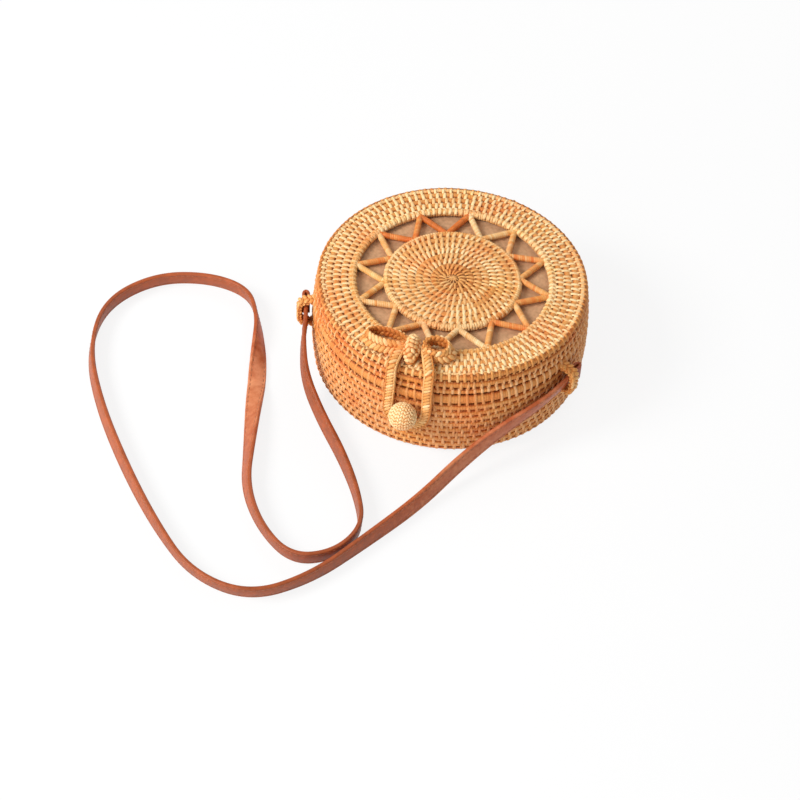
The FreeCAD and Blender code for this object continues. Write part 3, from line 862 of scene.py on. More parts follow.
def on_circle(radius, turn, height):
    """Point at a turn from the front towards +X."""
    return Vector((radius * math.sin(turn), -radius * math.cos(turn), height))


# Shades of the canes, from the front towards +X
CANE_SHADES = (
    0.86, 0.64, 0.56, 0.66, 0.52, 0.62, 0.66, 0.68, 0.74, 0.76, 0.86, 0.28,
    0.2, 0.5, 0.32, 0.7, 0.54, 0.74, 0.68, 0.76, 0.72, 0.74, 0.9, 0.88,
)


class BAG_OT_spokes(bpy.types.Operator):
    """Wrap the canes of the zigzag between the disc and the ring"""

    bl_idname = "bag.spokes"
    bl_label = "Zigzag canes"

    def execute(self, context):
        rng = random.Random(weave().seed + 3)
        low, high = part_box("lid_spokes")
        height = (low.z + high.z) / 2
        diameter = high.z - low.z
        # The wraps run slanted round the cane, and its ends go in under the rows
        slope = 0.25
        tuck = 1.0 * MM
        oval = oval_section(diameter, diameter, sides=12)
        section = [Vector((spot.x, spot.y, spot.x * slope)) for spot in oval]
        bm = start_mesh()
        step = HALF_TURN / SPOKE_POINTS
        for index in range(SPOKE_POINTS * 2):
            inner = on_circle(DISC_RADIUS - tuck, SPOKE_PHASE + step * (index + index % 2), height)
            outer = on_circle(OPENING_RADIUS + tuck, SPOKE_PHASE + step * (index + 1 - index % 2), height)
            self.add_cane(bm, rng, section, inner, outer, CANE_SHADES[index])
        finish_piece("zigzag_canes", bm, [cane_wrap()], "lid", "wrapped_cane", "lid_spokes")
        return {"FINISHED"}

    def add_cane(self, bm, rng, section, start, end, shade):
        """A cane drawn in at the grooves between its wraps, each wrap with its own tint."""
        pitch, rings_per_wrap = 1.6 * MM, 4
        groove_share = 0.13
        # Painted shade: the rings in the grooves between wraps are drawn darker
        groove_shade_tint = -0.18
        along = (end - start).normalized()
        turned = Matrix((along.cross(UP), UP, along)).transposed().to_4x4()
        wraps = round((end - start).length / pitch)
        count = wraps * rings_per_wrap
        wrap_tints = [rng.gauss(shade, 0.08) for _ in range(wraps + 1)]
        frames, tints = [], []
        for ring in range(count + 1):
            bulge = abs(math.sin(HALF_TURN * ring / rings_per_wrap)) ** 0.5
            swell = 1.0 - groove_share * (1.0 - bulge)
            place = turned @ Matrix.Diagonal((swell, swell, 1.0, 1.0))
            place.translation = start.lerp(end, ring / count)
            frames.append(place)
            in_groove = ring % rings_per_wrap == 0
            tints.append(wrap_tints[ring // rings_per_wrap] + (groove_shade_tint if in_groove else 0.0))
        sweep(bm, section, frames, tints)


# Plaited grass

# Length of a turn of the strands in the ball's stem and knot, and in the hinge ties
KNOT_PITCH = 7.0 * MM
TIE_PITCH = 6.0 * MM
# Step between the strokes of the plaited bands
CLASP_PITCH = 2.8 * MM
BOW_PITCH = 3.3 * MM
LOOP_PITCH = 3.2 * MM
# The core under the strokes of a plaited band, as a share of its thickness
BAND_CORE_SHARE = 0.6
# Step between the points of a band's middle line
BAND_STEP = 0.7 * MM


def lay_strands(bm, line, outwards, pitch, tints, section, path, closed):
    """Strands that wind about a line, one for each tint. Path gives the place across it at a phase."""
    travelled = lengths_along(line)
    total = travelled[-1] + ((line[0] - line[-1]).length if closed else 0.0)
    turns = max(1, round(total / pitch))
    backbone = frames_along(line, outwards, closed)
    for strand, tint in enumerate(tints):
        points = []
        for place, distance in zip(backbone, travelled):
            phase = FULL_TURN * (turns * distance / total + strand / len(tints))
            points.append(place @ Vector((*path(phase), 0)))
        sweep(bm, section, frames_along(points, outwards, closed), tint, closed=closed)


def plaited_ring(bm, rng, line, outwards, width, thickness, pitch):
    """Three strands plaited flat round a ring, crossing over and under."""
    strand_width = width * 0.46
    strand_thickness = thickness * 0.56
    swing = (width - strand_width) / 2
    lift = (thickness - strand_thickness) / 2

    def path(phase):
        return swing * math.sin(phase), lift * math.sin(2 * phase)

    section = oval_section(strand_width, strand_thickness, sides=8)
    tints = [rng.gauss(0.6, 0.09) for _ in range(3)]
    lay_strands(bm, line, outwards, pitch, tints, section, path, True)


def twisted_cord(bm, rng, line, outwards, diameter, pitch, closed=False):
    """Two strands laid round one another."""
    reach = diameter * 0.24
    strand = diameter * 0.54

    def path(phase):
        return reach * math.cos(phase), reach * math.sin(phase)

    tints = [rng.gauss(0.6, 0.08) for _ in range(2)]
    lay_strands(bm, line, outwards, pitch, tints, oval_section(strand, strand, sides=8), path, closed)


def add_grains(bm, grains):
    """Lays on short oval strokes of wound grass. Each grain is its place, with its size, and its tint."""
    part = start_mesh()
    bmesh.ops.create_uvsphere(part, u_segments=8, v_segments=5, radius=0.5)
    mesh = bpy.data.meshes.new("grain")
    part.to_mesh(mesh)
    part.free()
    tints = mesh.attributes["tint"].data
    for place, tint in grains:
        tints.foreach_set("value", [tint] * len(tints))
        stamp(bm, mesh, place)
    bpy.data.meshes.remove(mesh)


def braid_grains(bm, rng, backbone, widths, thickness, columns, pitch, tints):
    """Covers both faces of a band with strokes in columns that lean by turns one way and the other.

    Tints holds one tint for the outer face and one for the inner.
    """
    slant = math.radians(38.0)
    shade_stray = 0.1
    # A stroke's width, thickness and length as shares of its column, its band and its pitch
    wide_share, thick_share, long_share = 1.35, 0.5, 0.92
    raise_share = 0.27
    travelled = lengths_along([place.translation for place in backbone])
    count = round(travelled[-1] / pitch)
    grains = []
    for number in range(count):
        for column in range(columns):
            target = travelled[-1] * (number + 0.25 + 0.5 * (column % 2)) / count
            index = next(index for index, distance in enumerate(travelled) if distance >= target)
            width = widths[index]
            across = width * ((column + 0.5) / columns - 0.5)
            stroke = (width / columns * wide_share, thickness * thick_share, pitch * long_share)
            size = Matrix.Diagonal((*stroke, 1.0))
            lean = -slant if column % 2 else slant
            for face, tint in zip((1, -1), tints):
                raised = Matrix.Translation((across, face * thickness * raise_share, 0))
                laid = raised @ Matrix.Rotation(lean * face, 4, "Y")
                grains.append((backbone[index] @ laid @ size, rng.gauss(tint, shade_stray)))
    add_grains(bm, grains)


def bound_band(bm, rng, line, outwards, width, thickness, pitch):
    """A band with strokes across it, a pale cord along its inner edge and a reddish one along its outer."""
    backbone = frames_along(line, outwards)
    sweep(bm, oval_section(width * 0.84, thickness * BAND_CORE_SHARE, sides=10), backbone, tint=0.3)
    cord = width * 0.24
    for side, tint in ((-1, 0.72), (1, 0.4)):
        edge = [place @ Vector((side * (width - cord) / 2, 0, 0)) for place in backbone]
        sweep(bm, oval_section(cord, thickness * 0.8, sides=8), frames_along(edge, outwards), tint)
    widths = [width * 0.74] * len(line)
    braid_grains(bm, rng, backbone, widths, thickness, columns=1, pitch=pitch, tints=(0.66, 0.66))


class BAG_OT_clasp(bpy.types.Operator):
    """Lay the clasp: one band from the bow over the lid's edge, round the ball and back"""

    bl_idname = "bag.clasp"
    bl_label = "Clasp loop"

    def execute(self, context):
        rng = random.Random(weave().seed + 4)
        low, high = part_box("clasp_loop")
        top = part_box("bow_tail_right")[1].z
        joint = next(joint for joint in frame["joints"] if joint["name"] == "clasp_swing")
        axis = Vector(joint["pos_m"])
        width = 7.6 * MM
        thickness = 4.0 * MM
        side = high.x - width / 2
        bottom = low.z + width / 2
        lean = (low.y + thickness / 2 - axis.y) / (axis.z - low.z)
        bend = axis.y + 6.0 * MM

        def over(x, y, z):
            return Vector((x * MM, axis.y + y * MM, top + z * MM))

        def hung(x, z):
            return Vector((x, axis.y + (axis.z - z) * lean, z))

        line = [
            over(3.6, 24.0, 0.6), over(6.4, 17.5, 0.8), over(9.4, 11.0, 0.0), over(12.4, 5.0, -1.6),
            over(13.8, 0.6, -2.4), hung(side, axis.z), hung(side, axis.z - 10.0 * MM),
            hung(side + 0.4 * MM, bottom + 21.0 * MM), hung(side + 0.2 * MM, bottom + 9.0 * MM),
            hung(side * 0.72, bottom + 2.0 * MM), hung(side * 0.3, bottom - 0.6 * MM),
            hung(-side * 0.3, bottom - 0.6 * MM), hung(-side * 0.72, bottom + 2.0 * MM),
            hung(-side, bottom + 9.0 * MM), hung(0.4 * MM - side, bottom + 21.0 * MM),
            hung(0.6 * MM - side, axis.z - 10.0 * MM), hung(0.6 * MM - side, axis.z),
            over(-13.2, 0.6, -2.2), over(-13.2, 5.0, -1.2), over(-12.8, 11.0, 0.2), over(-12.0, 17.5, 0.8),
            over(-10.0, 22.0, 0.6),
        ]
        line = even_line(smooth_line(line), BAND_STEP)
        # The band faces up on the lid, and outwards from the joint where it hangs
        outwards = []
        for point in line:
            around = Vector((0, min(point.y - bend, -0.01 * MM), max(point.z - axis.z, 0.0)))
            outwards.append(around.normalized() if point.y < bend else UP.copy())
        bm = start_mesh()
        bound_band(bm, rng, line, outwards, width, thickness, CLASP_PITCH)
        band = finish_piece("clasp_band", bm, [pale_strand()], None, "plaited_band",
                            "clasp_loop", "bow_tail_left", "bow_tail_right")
        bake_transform(band, "lid", "clasp", start=(0, bend, top), end=(0, axis.y - 2.0 * MM, axis.z - 6.0 * MM))
        return {"FINISHED"}


# The bow's openings and the thickness of its band at the brim, as in the parts
BOW_OPENINGS = {"left": (23.0 * MM, 6.4 * MM), "right": (11.5 * MM, 10.0 * MM)}
BOW_BRIM = 2.0 * MM
KNOT_TURN = math.radians(9.0)


class BAG_OT_bow(bpy.types.Operator):
    """Plait the bow on the lid: two loops and the wrapped knot"""

    bl_idname = "bag.bow"
    bl_label = "Bow"

    def execute(self, context):
        rng = random.Random(weave().seed + 5)
        self.add_loop(rng, "left", -1, thickness=2.8 * MM)
        self.add_loop(rng, "right", 1, thickness=3.4 * MM)
        self.add_knot(rng)
        return {"FINISHED"}

    def add_loop(self, rng, name, side, thickness):
        """A plaited band round an oval, spread at its foot. Its inside is drawn darker and redder than its
        outside.
        """
        node = "bow_loop_" + name
        low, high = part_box(node)
        knot_side = low.x if side > 0 else high.x
        foot = [(high.x - low.x) / 2, (high.y - low.y) / 2]
        brim = [opening / 2 + BOW_BRIM for opening in BOW_OPENINGS[name]]
        count = 192

        def rounds(half_long, half_wide, height):
            turns = [FULL_TURN * index / count for index in range(count)]
            return [Vector((knot_side + side * half_long * (1 + math.cos(turn)),
                            high.y - half_wide * (1 - math.sin(turn)), height)) for turn in turns]

        lower = rounds(*foot, low.z + thickness / 4)
        upper = rounds(*brim, high.z - thickness / 4)
        line = [below.lerp(above, 0.5) for below, above in zip(lower, upper)]
        heart = sum(line, ORIGIN) / count
        outwards = []
        for index, point in enumerate(line):
            along = line[(index + 1) % count] - line[index - 1]
            facing = along.cross(upper[index] - lower[index]).normalized()
            outwards.append(facing if facing.dot(point - heart) > 0 else -facing)
        widths = [(above - below).length for below, above in zip(lower, upper)]
        backbone = frames_along(line, outwards, True)
        sized = []
        for place, width in zip(backbone, widths):
            sized.append(place @ Matrix.Diagonal((width, thickness * BAND_CORE_SHARE, 1.0, 1.0)))
        bm = start_mesh()
        sweep(bm, oval_section(1.0, 1.0, sides=10), sized, tint=0.4, closed=True)
        braid_grains(bm, rng, backbone, widths, thickness, columns=2, pitch=BOW_PITCH, tints=(0.68, 0.3))
        finish_piece(node + "_band", bm, [pale_strand()], "lid", "plaited_band", node)

    def add_knot(self, rng):
        """A hump covered with short plaited strokes."""
        low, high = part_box("bow_knot")
        grain = Vector((4.8, 2.9, 2.2)) * MM
        drawn = Vector((-1.6, -1.4, 0.0)) * MM
        placed = Matrix.Translation(Vector(((low.x + high.x) / 2, (low.y + high.y) / 2, low.z)) + drawn)
        placed = placed @ Matrix.Rotation(KNOT_TURN, 4, "Z")
        half = Vector(((high.x - low.x) / 2 + 0.2 * MM, (high.y - low.y) / 2, high.z - low.z - grain.z / 2))
        bm = start_mesh()
        bmesh.ops.create_uvsphere(bm, u_segments=20, v_segments=12, radius=1.0,
                                  matrix=placed @ Matrix.Diagonal((*half, 1.0)))
        whole = bm.verts[:] + bm.edges[:] + bm.faces[:]
        cut = bmesh.ops.bisect_plane(bm, geom=whole, plane_co=low, plane_no=UP, clear_inner=True)
        brim = [item for item in cut["geom_cut"] if isinstance(item, bmesh.types.BMEdge)]
        bmesh.ops.edgeloop_fill(bm, edges=brim)
        set_tint(bm, bm.verts, tint=0.3)
        grains = []
        rows, most_columns = 9, 5
        shade, shade_stray = 0.8, 0.07
        length_angle, width_angle = math.radians(152.0), math.radians(150.0)
        slant = math.radians(32.0)
        for row in range(rows):
            along = length_angle * ((row + 0.5) / rows - 0.5)
            columns = max(2, round(most_columns * math.cos(along)))
            for column in range(columns):
                across = width_angle * ((column + 0.5) / columns - 0.5)
                flat = math.cos(along)
                spot = Vector((math.sin(across) * flat, math.sin(along), math.cos(across) * flat))
                facing = Vector((spot.x / half.x, spot.y / half.y, spot.z / half.z)).normalized()
                side = Vector((0, 1, 0)).cross(facing).normalized()
                turned = Matrix((side, facing.cross(side), facing)).transposed().to_4x4()
                turned.translation = Vector((spot.x * half.x, spot.y * half.y, spot.z * half.z))
                lean = Matrix.Rotation(slant if column % 2 else -slant, 4, "Z")
                laid = placed @ turned @ lean @ Matrix.Diagonal((*grain, 1.0))
                grains.append((laid, rng.gauss(shade, shade_stray)))
        add_grains(bm, grains)
        finish_piece("bow_knot_wrap", bm, [pale_strand()], "lid", "plaited_band", "bow_knot")


class BAG_OT_ball(bpy.types.Operator):
    """Weave the ball button, with its stem and the knot inside"""

    bl_idname = "bag.ball"
    bl_label = "Ball button"

    def execute(self, context):
        rng = random.Random(weave().seed + 6)
        self.add_ball(rng)
        self.add_stem(rng)
        self.add_stem_knot(rng)
        return {"FINISHED"}

    def add_ball(self, rng):
        """Rows of short strokes that lean one way and the other, as strands crossing over a ball look."""
        low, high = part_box("ball_button")
        centre = (low + high) / 2
        grain = Vector((1.2, 3.0, 1.7)) * MM
        radius = (high.z - low.z) / 2 - grain.x / 2
        bm = start_mesh()
        bmesh.ops.create_uvsphere(bm, u_segments=32, v_segments=20, radius=radius,
                                  matrix=Matrix.Translation(centre))
        set_tint(bm, bm.verts, tint=0.55)
        rows = 16
        shade, shade_stray = 1.0, 0.08
        spacing = grain.y * 0.86
        slant, slant_stray = 38.0, 6.0
        raised = Matrix.Translation((radius, 0, 0))
        grains = []
        sideways = Matrix.Translation(centre) @ Matrix.Rotation(HALF_TURN / 2, 4, "Y")
        for row in range(rows):
            latitude = HALF_TURN * ((row + 0.5) / rows - 0.5)
            count = max(3, round(FULL_TURN * radius * math.cos(latitude) / spacing))
            for index in range(count):
                turn = FULL_TURN * (index + 0.5 * (row % 2)) / count
                spun = Matrix.Rotation(turn, 4, "Z") @ Matrix.Rotation(-latitude, 4, "Y")
                degrees = rng.gauss(slant if row % 2 else -slant, slant_stray)
                lean = Matrix.Rotation(math.radians(degrees), 4, "X")
                sized = lean @ Matrix.Diagonal((*grain, 1.0))
                grains.append((sideways @ spun @ raised @ sized, rng.gauss(shade, shade_stray)))
        add_grains(bm, grains)
        finish_piece("woven_ball", bm, [pale_strand()], "base", "woven_ball", "ball_button")

    def add_stem(self, rng):
        low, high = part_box("ball_stem")
        x, z = (low.x + high.x) / 2, (low.z + high.z) / 2
        steps = 40
        line = [Vector((x, low.y + (high.y - low.y) * step / steps, z)) for step in range(steps + 1)]
        bm = start_mesh()
        twisted_cord(bm, rng, line, [UP] * len(line), high.x - low.x, KNOT_PITCH)
        finish_piece("ball_stem_cord", bm, [pale_strand()], "base", "plaited_band", "ball_stem")

    def add_stem_knot(self, rng):
        low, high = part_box("ball_knot")
        size = high.x - low.x
        line, outwards = round_line((low + high) / 2, size * 0.31, Vector((1, 0, 0)), UP, count=48)
        bm = start_mesh()
        plaited_ring(bm, rng, line, outwards, high.y - low.y, size * 0.34, KNOT_PITCH)
        finish_piece("ball_knot_plait", bm, [pale_strand()], "base", "plaited_band", "ball_knot")


def round_line(centre, radius, right, up, count):
    """Points of a ring in the plane of right and up, with the way outwards at each."""
    turns = [FULL_TURN * index / count for index in range(count)]
    outwards = [right * math.cos(turn) + up * math.sin(turn) for turn in turns]
    return [centre + spoke * radius for spoke in outwards], outwards


class BAG_OT_side_loops(bpy.types.Operator):
    """Plait the two loops on the wall that carry the strap"""

    bl_idname = "bag.side_loops"
    bl_label = "Side loops"

    def execute(self, context):
        rng = random.Random(weave().seed + 7)
        azimuth = math.radians(70.0)
        low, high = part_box("side_loop_right")
        middle = (low.z + high.z) / 2
        width = 8.0 * MM
        thickness = 4.2 * MM
        top = (high.z - low.z - thickness) / 2
        root = WIDEST_RADIUS - 3.0 * MM
        shoulder = WIDEST_RADIUS + 1.0 * MM
        reach = WIDEST_RADIUS + 8.5 * MM
        bulge = 0.4 * MM
        corner = 4.0 * MM
        upper = [(root, top + bulge), (shoulder, top + bulge), (reach - 2.0 * MM, top - bulge / 2),
                 (reach + bulge, top - corner)]
        outline = upper + [(reach + bulge / 2, bulge)] + [(out, -rise) for out, rise in reversed(upper)]
        for name, side in (("left", -1), ("right", 1)):
            places = [on_circle(out, side * azimuth, middle + rise) for out, rise in outline]
            line = even_line(smooth_line(places), BAND_STEP)
            heart = on_circle(WIDEST_RADIUS + 2.0 * MM, side * azimuth, middle)
            outwards = [(point - heart).normalized() for point in line]
            bm = start_mesh()
            backbone = frames_along(line, outwards)
            widths = [width] * len(line)
            sweep(bm, oval_section(width * 0.9, thickness * BAND_CORE_SHARE, sides=10), backbone, tint=0.4)
            braid_grains(bm, rng, backbone, widths, thickness, columns=2, pitch=LOOP_PITCH, tints=(0.62, 0.5))
            node = "side_loop_" + name
            finish_piece(node + "_band", bm, [pale_strand()], "base", "plaited_band", node)
        return {"FINISHED"}


class BAG_OT_hinge_ties(bpy.types.Operator):
    """Lay the two cord rings that hinge the lid at the back"""

    bl_idname = "bag.hinge_ties"
    bl_label = "Hinge ties"

    def execute(self, context):
        rng = random.Random(weave().seed + 8)
        slack = 2.0 * MM
        for name in ("left", "right"):
            node = "hinge_tie_" + name
            low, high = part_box(node)
            diameter = high.x - low.x - slack / 4
            radius = (high.z - low.z - diameter) / 2 - slack
            line, outwards = round_line((low + high) / 2, radius, Vector((0, 1, 0)), UP, count=96)
            bm = start_mesh()
            twisted_cord(bm, rng, line, outwards, diameter, TIE_PITCH, True)
            finish_piece(node + "_cord", bm, [pale_strand()], "base", "plaited_band", node)
        return {"FINISHED"}


# Cloth lining


def spun_cloth(node, body, profile):
    """A round sheet: a profile of points spun about the bag's axis, with soft slack in it."""
    slack_scale = 28.0
    most_slack = 0.5 * MM
    flat_share = 0.8
    bm = bmesh.new()
    verts = [bm.verts.new((radius, 0, height)) for radius, height in profile]
    edges = [bm.edges.new(pair) for pair in zip(verts, verts[1:])]
    bmesh.ops.spin(bm, geom=verts + edges, cent=ORIGIN, axis=UP, angle=FULL_TURN, steps=128, use_merge=True)
    bmesh.ops.remove_doubles(bm, verts=bm.verts, dist=0.01 * MM)
    lies_flat = profile[0][1] == profile[-1][1]
    for vert in bm.verts:
        slack = noise.noise(vert.co * slack_scale) * most_slack
        if lies_flat:
            vert.co.z += slack * flat_share
        else:
            vert.co -= Vector((vert.co.x, vert.co.y, 0)).normalized() * abs(slack)
    bmesh.ops.recalc_face_normals(bm, faces=bm.faces)
    bmesh.ops.solidify(bm, geom=bm.faces[:], thickness=0.5 * MM)
    piece = finish_piece(node + "_cloth", bm, [lining_cotton()], body, "lining_cloth", node)


class BAG_OT_lining(bpy.types.Operator):
    """Sew in the cloth lining of the base and the lid"""

    bl_idname = "bag.lining"
    bl_label = "Lining"

    def execute(self, context):
        self.add_round("base_lining_floor", "base", "base_floor")
        self.add_round("lid_lining_panel", "lid", "lid_top_ring")
        self.add_wall("base_lining_wall", "base", "base_wall")
        self.add_wall("lid_lining_wall", "lid", "lid_wall")
        return {"FINISHED"}

    def add_round(self, node, body, rests_on):
        """A flat disc of cloth."""
        steps = 24
        clearance = 0.3 * MM
        low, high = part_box(node)
        height = (low.z + high.z) / 2
        radius = high.x - clearance
        profile = [(radius * step / steps, height) for step in range(steps + 1)]
        spun_cloth(node, body, profile)

    def add_wall(self, node, body, rests_on):
        """A band of cloth with its hem turned in at the bag's mouth."""
        steps = 12
        clearance = 0.6 * MM
        low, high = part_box(node)
        radius = high.x - clearance
        inside = radius - 1.1 * MM
        rolled = radius - 0.5 * MM
        hem = 3.0 * MM
        lip = 0.4 * MM
        profile = [(radius, low.z + (high.z - low.z) * step / steps) for step in range(steps + 1)]
        if body == "lid":
            profile = [(inside, low.z + hem), (inside, low.z + lip), (rolled, low.z)] + profile[1:]
        else:
            profile[-1] = (radius, high.z - lip)
            profile += [(rolled, high.z), (inside, high.z - lip), (inside, high.z - hem)]
        spun_cloth(node, body, profile)


# Leather strap

# Control points of the strap's lower edge in mm, each with its lean in degrees. The strap stands on edge
# at 0 and at 180, with its other face outwards, and lies flat at 90.
STRAP_ROUTE = [
    (-99.1, -31.8, 37.9, 180), (-94.8, -43.5, 36.9, 180), (-92.0, -58.0, 29.0, 186),
    (-84.0, -76.0, 12.0, 192), (-64.5, -97.0, 0.0, 194), (-38.5, -126.0, 0.0, 192),
    (-16.5, -156.0, 0.0, 186), (-3.0, -184.0, 0.0, 184), (-14.0, -212.0, 0.0, 188),
    (-40.0, -225.0, 0.0, 192), (-69.0, -206.0, 0.0, 182), (-91.5, -176.0, 0.0, 162),
    (-102.0, -140.0, 0.0, 148), (-112.0, -106.0, 0.0, 125), (-121.0, -74.0, 0.0, 82),
    (-131.0, -44.0, 0.0, 34), (-140.0, -22.0, 0.0, 8), (-156.0, 2.0, 0.0, 8),
    (-190.0, 6.0, 0.0, 14), (-228.0, -9.0, 0.0, 14), (-252.0, -47.0, 0.0, 6),
    (-244.0, -95.0, 0.0, 12), (-214.5, -142.0, 0.0, 14), (-174.0, -190.0, 0.0, 12),
    (-135.5, -229.0, 0.0, 4), (-98.0, -259.0, 0.0, -12), (-55.0, -264.0, 0.0, -16),
    (-22.0, -235.0, 0.0, -6), (2.0, -193.0, 0.0, 6), (26.0, -148.0, 0.2, 16),
    (43.0, -111.0, 7.4, 14), (62.0, -85.0, 19.4, 0), (85.0, -61.0, 31.9, -16),
    (94.8, -43.5, 35.9, -18), (99.1, -31.8, 36.9, -12),
]


def strap_section():
    """Rounded flat section: width along X, with a shallow channel along each seam."""
    sizes = strap_sizes()
    half_width = sizes.width / 2
    half = sizes.thickness / 2
    corner = half * 0.55
    seam = half_width - sizes.seam_inset
    channel_depth = 0.22 * MM
    channel_half = 0.7 * MM
    cut = corner * 0.3
    quarter = [
        (half_width, half - corner), (half_width - cut, half - cut), (half_width - corner, half),
        (seam + channel_half, half), (seam, half - channel_depth), (seam - channel_half, half),
    ]
    upper = quarter + [(-x, y) for x, y in reversed(quarter)]
    lower = [(-x, -y) for x, y in upper]
    return [Vector((x, y, 0)) for x, y in upper + lower]


def strap_line():
    """The strap's middle line and the direction that its face looks at each point."""
    sizes = strap_sizes()
    resolution = 12
    clearance = 0.1 * MM
    lower_edge = smooth_line([Vector(spot[:3]) * MM for spot in STRAP_ROUTE], resolution)
    leans = smooth_line([Vector((math.radians(spot[3]), 0, 0)) for spot in STRAP_ROUTE], resolution)
    turns = [lean.x for lean in leans]
    line = []
    for point, turn in zip(lower_edge, turns):
        rise = sizes.width / 2 * abs(math.cos(turn)) + sizes.thickness / 2 * abs(math.sin(turn))
        line.append(point + UP * (rise + clearance))
    facings = []
    for before, after, turn in zip([line[0]] + line, line[1:] + [line[-1]], turns):
        along = (after - before).normalized()
        level = along.cross(UP).normalized()
        facings.append(level * math.cos(turn) + level.cross(along) * math.sin(turn))
    return line, facings


class BAG_OT_strap(bpy.types.Operator):
    """Lay the leather strap and fold its two ends"""

    bl_idname = "bag.strap"
    bl_label = "Shoulder strap"

    def execute(self, context):
        line, facings = strap_line()
        frames = frames_along(line, facings)
        bm = start_mesh()
        # Painted light: the strap's tint is raised where its face looks up, and towards the right loop, standing
        # in for light that falls there
        least_tint, flat_painted_light, loop_painted_light = 0.14, 0.3, 0.2
        fully_lit_x = 45.0 * MM
        tints = []
        for point, facing in zip(line, facings):
            near_loop = min(1.0, max(0.0, point.x / fully_lit_x))
            tints.append(least_tint + flat_painted_light * max(0.0, facing.z) + loop_painted_light * near_loop)
        sweep(bm, strap_section(), frames, tints)
        self.add_seams(bm, line, frames)
        strap = finish_piece("leather_strap", bm, [strap_leather(), seam_thread()], "base", "strap_leather",
                             "shoulder_strap")
        folds = [self.add_fold("strap_fold_left", line[0], line[1]),
                 self.add_fold("strap_fold_right", line[-1], line[-2])]
        return {"FINISHED"}

    def add_seams(self, bm, line, frames):
        """Seam stitches near both edges of both faces, each a small capsule of thread."""
        sizes = strap_sizes()
        travelled = lengths_along(line)
        count = int(travelled[-1] / sizes.stitch_pitch)
        across = sizes.width / 2 - sizes.seam_inset
        proud = sizes.thickness / 2 - 0.12 * MM
        stitch_mesh = self.thread_stitch()
        bare_ends = 2
        at = 0
        for number in range(bare_ends, count - bare_ends):
            target = number * sizes.stitch_pitch
            while travelled[at + 1] < target:
                at += 1
            share = (target - travelled[at]) / (travelled[at + 1] - travelled[at])
            place = frames[at].lerp(frames[at + 1], share)
            for side in (-across, across):
                for face in (-proud, proud):
                    stamp(bm, stitch_mesh, place @ Matrix.Translation((side, face, 0)))
        bpy.data.meshes.remove(stitch_mesh)

    def thread_stitch(self):
        """One seam stitch, standing along Z."""
        part = start_mesh()
        shape = Matrix.Diagonal((0.36 * MM, 0.3 * MM, strap_sizes().stitch_pitch * 0.36, 1.0))
        bmesh.ops.create_icosphere(part, subdivisions=1, radius=1.0, matrix=shape)
        for face in part.faces:
            face.material_index = 1
        mesh = bpy.data.meshes.new("stitch")
        part.to_mesh(mesh)
        part.free()
        return mesh

    def add_fold(self, node, end, inside):
        """Strap end turned back on itself round a small eye."""
        along = Vector((end.x - inside.x, end.y - inside.y, 0)).normalized()
        sideways = along.cross(UP)
        half = 1.7 * MM
        reach = 8.4 * MM
        overlap = 1.0 * MM
        # One side of the fold, from the strap towards its eye: places along it and across it
        side = [(-overlap, half), (reach * 0.5, half), (reach * 0.9, half * 1.1)]
        outline = [(run, -out) for run, out in side] + [(reach + 1.2 * MM, 0.0)] + side[::-1]
        line = [end + along * run + sideways * out for run, out in outline]
        line = even_line(smooth_line(line), 0.6 * MM)
        outwards = []
        for before, after in zip([line[0]] + line, line[1:] + [line[-1]]):
            outwards.append((after - before).normalized().cross(UP))
        bm = start_mesh()
        section = [Vector((point.x, point.y * 0.75, 0)) for point in strap_section()]
        sweep(bm, section, frames_along(line, outwards), tint=0.2)
        return finish_piece(node + "_leather", bm, [strap_leather()], "base", "strap_leather", node)


# Stage

CAMERA_ELEVATION = math.radians(45.382)
CAMERA_AZIMUTH = math.radians(14.0)
CAMERA_ROLL = math.radians(4.535)
CAMERA_DISTANCE = 1.55
CAMERA_TARGET = Vector((0, 0, 0.040))
CAMERA_FOCUS_PX = 2141.554
IMAGE_PX = 800
TARGET_PX = (449.958, 314.392)

# Each lamp's name, its place and size in metres, and its power in watts
LIGHTS = (
    ("key_light", (-1.2, -0.8, 1.25), 0.7, 27.5),
    ("fill_light", (-0.4, -1.5, 0.8), 1.2, 11.0),
    ("back_light", (0.2, 1.3, 1.4), 1.0, 9.0),
)


def camera_matrix():
    """Place of a camera that sees its target at TARGET_PX."""
    flat = math.cos(CAMERA_ELEVATION)
    sine, cosine = math.sin(CAMERA_AZIMUTH), math.cos(CAMERA_AZIMUTH)
    back = Vector((sine * flat, -cosine * flat, math.sin(CAMERA_ELEVATION)))
    level = Vector((cosine, sine, 0))
    above = back.cross(level)
    right = level * math.cos(CAMERA_ROLL) + above * math.sin(CAMERA_ROLL)
    up = above * math.cos(CAMERA_ROLL) - level * math.sin(CAMERA_ROLL)
    aimed = Matrix((right, up, back)).transposed()
    offset_x = (TARGET_PX[0] - IMAGE_PX / 2) / CAMERA_FOCUS_PX
    offset_y = (IMAGE_PX / 2 - TARGET_PX[1]) / CAMERA_FOCUS_PX
    seen = Vector((offset_x, offset_y, -1)).normalized()
    swing = Vector((0, 0, -1)).rotation_difference(seen).to_matrix()
    placed = (aimed @ swing.inverted()).to_4x4()
    placed.translation = CAMERA_TARGET + back * CAMERA_DISTANCE
    return placed


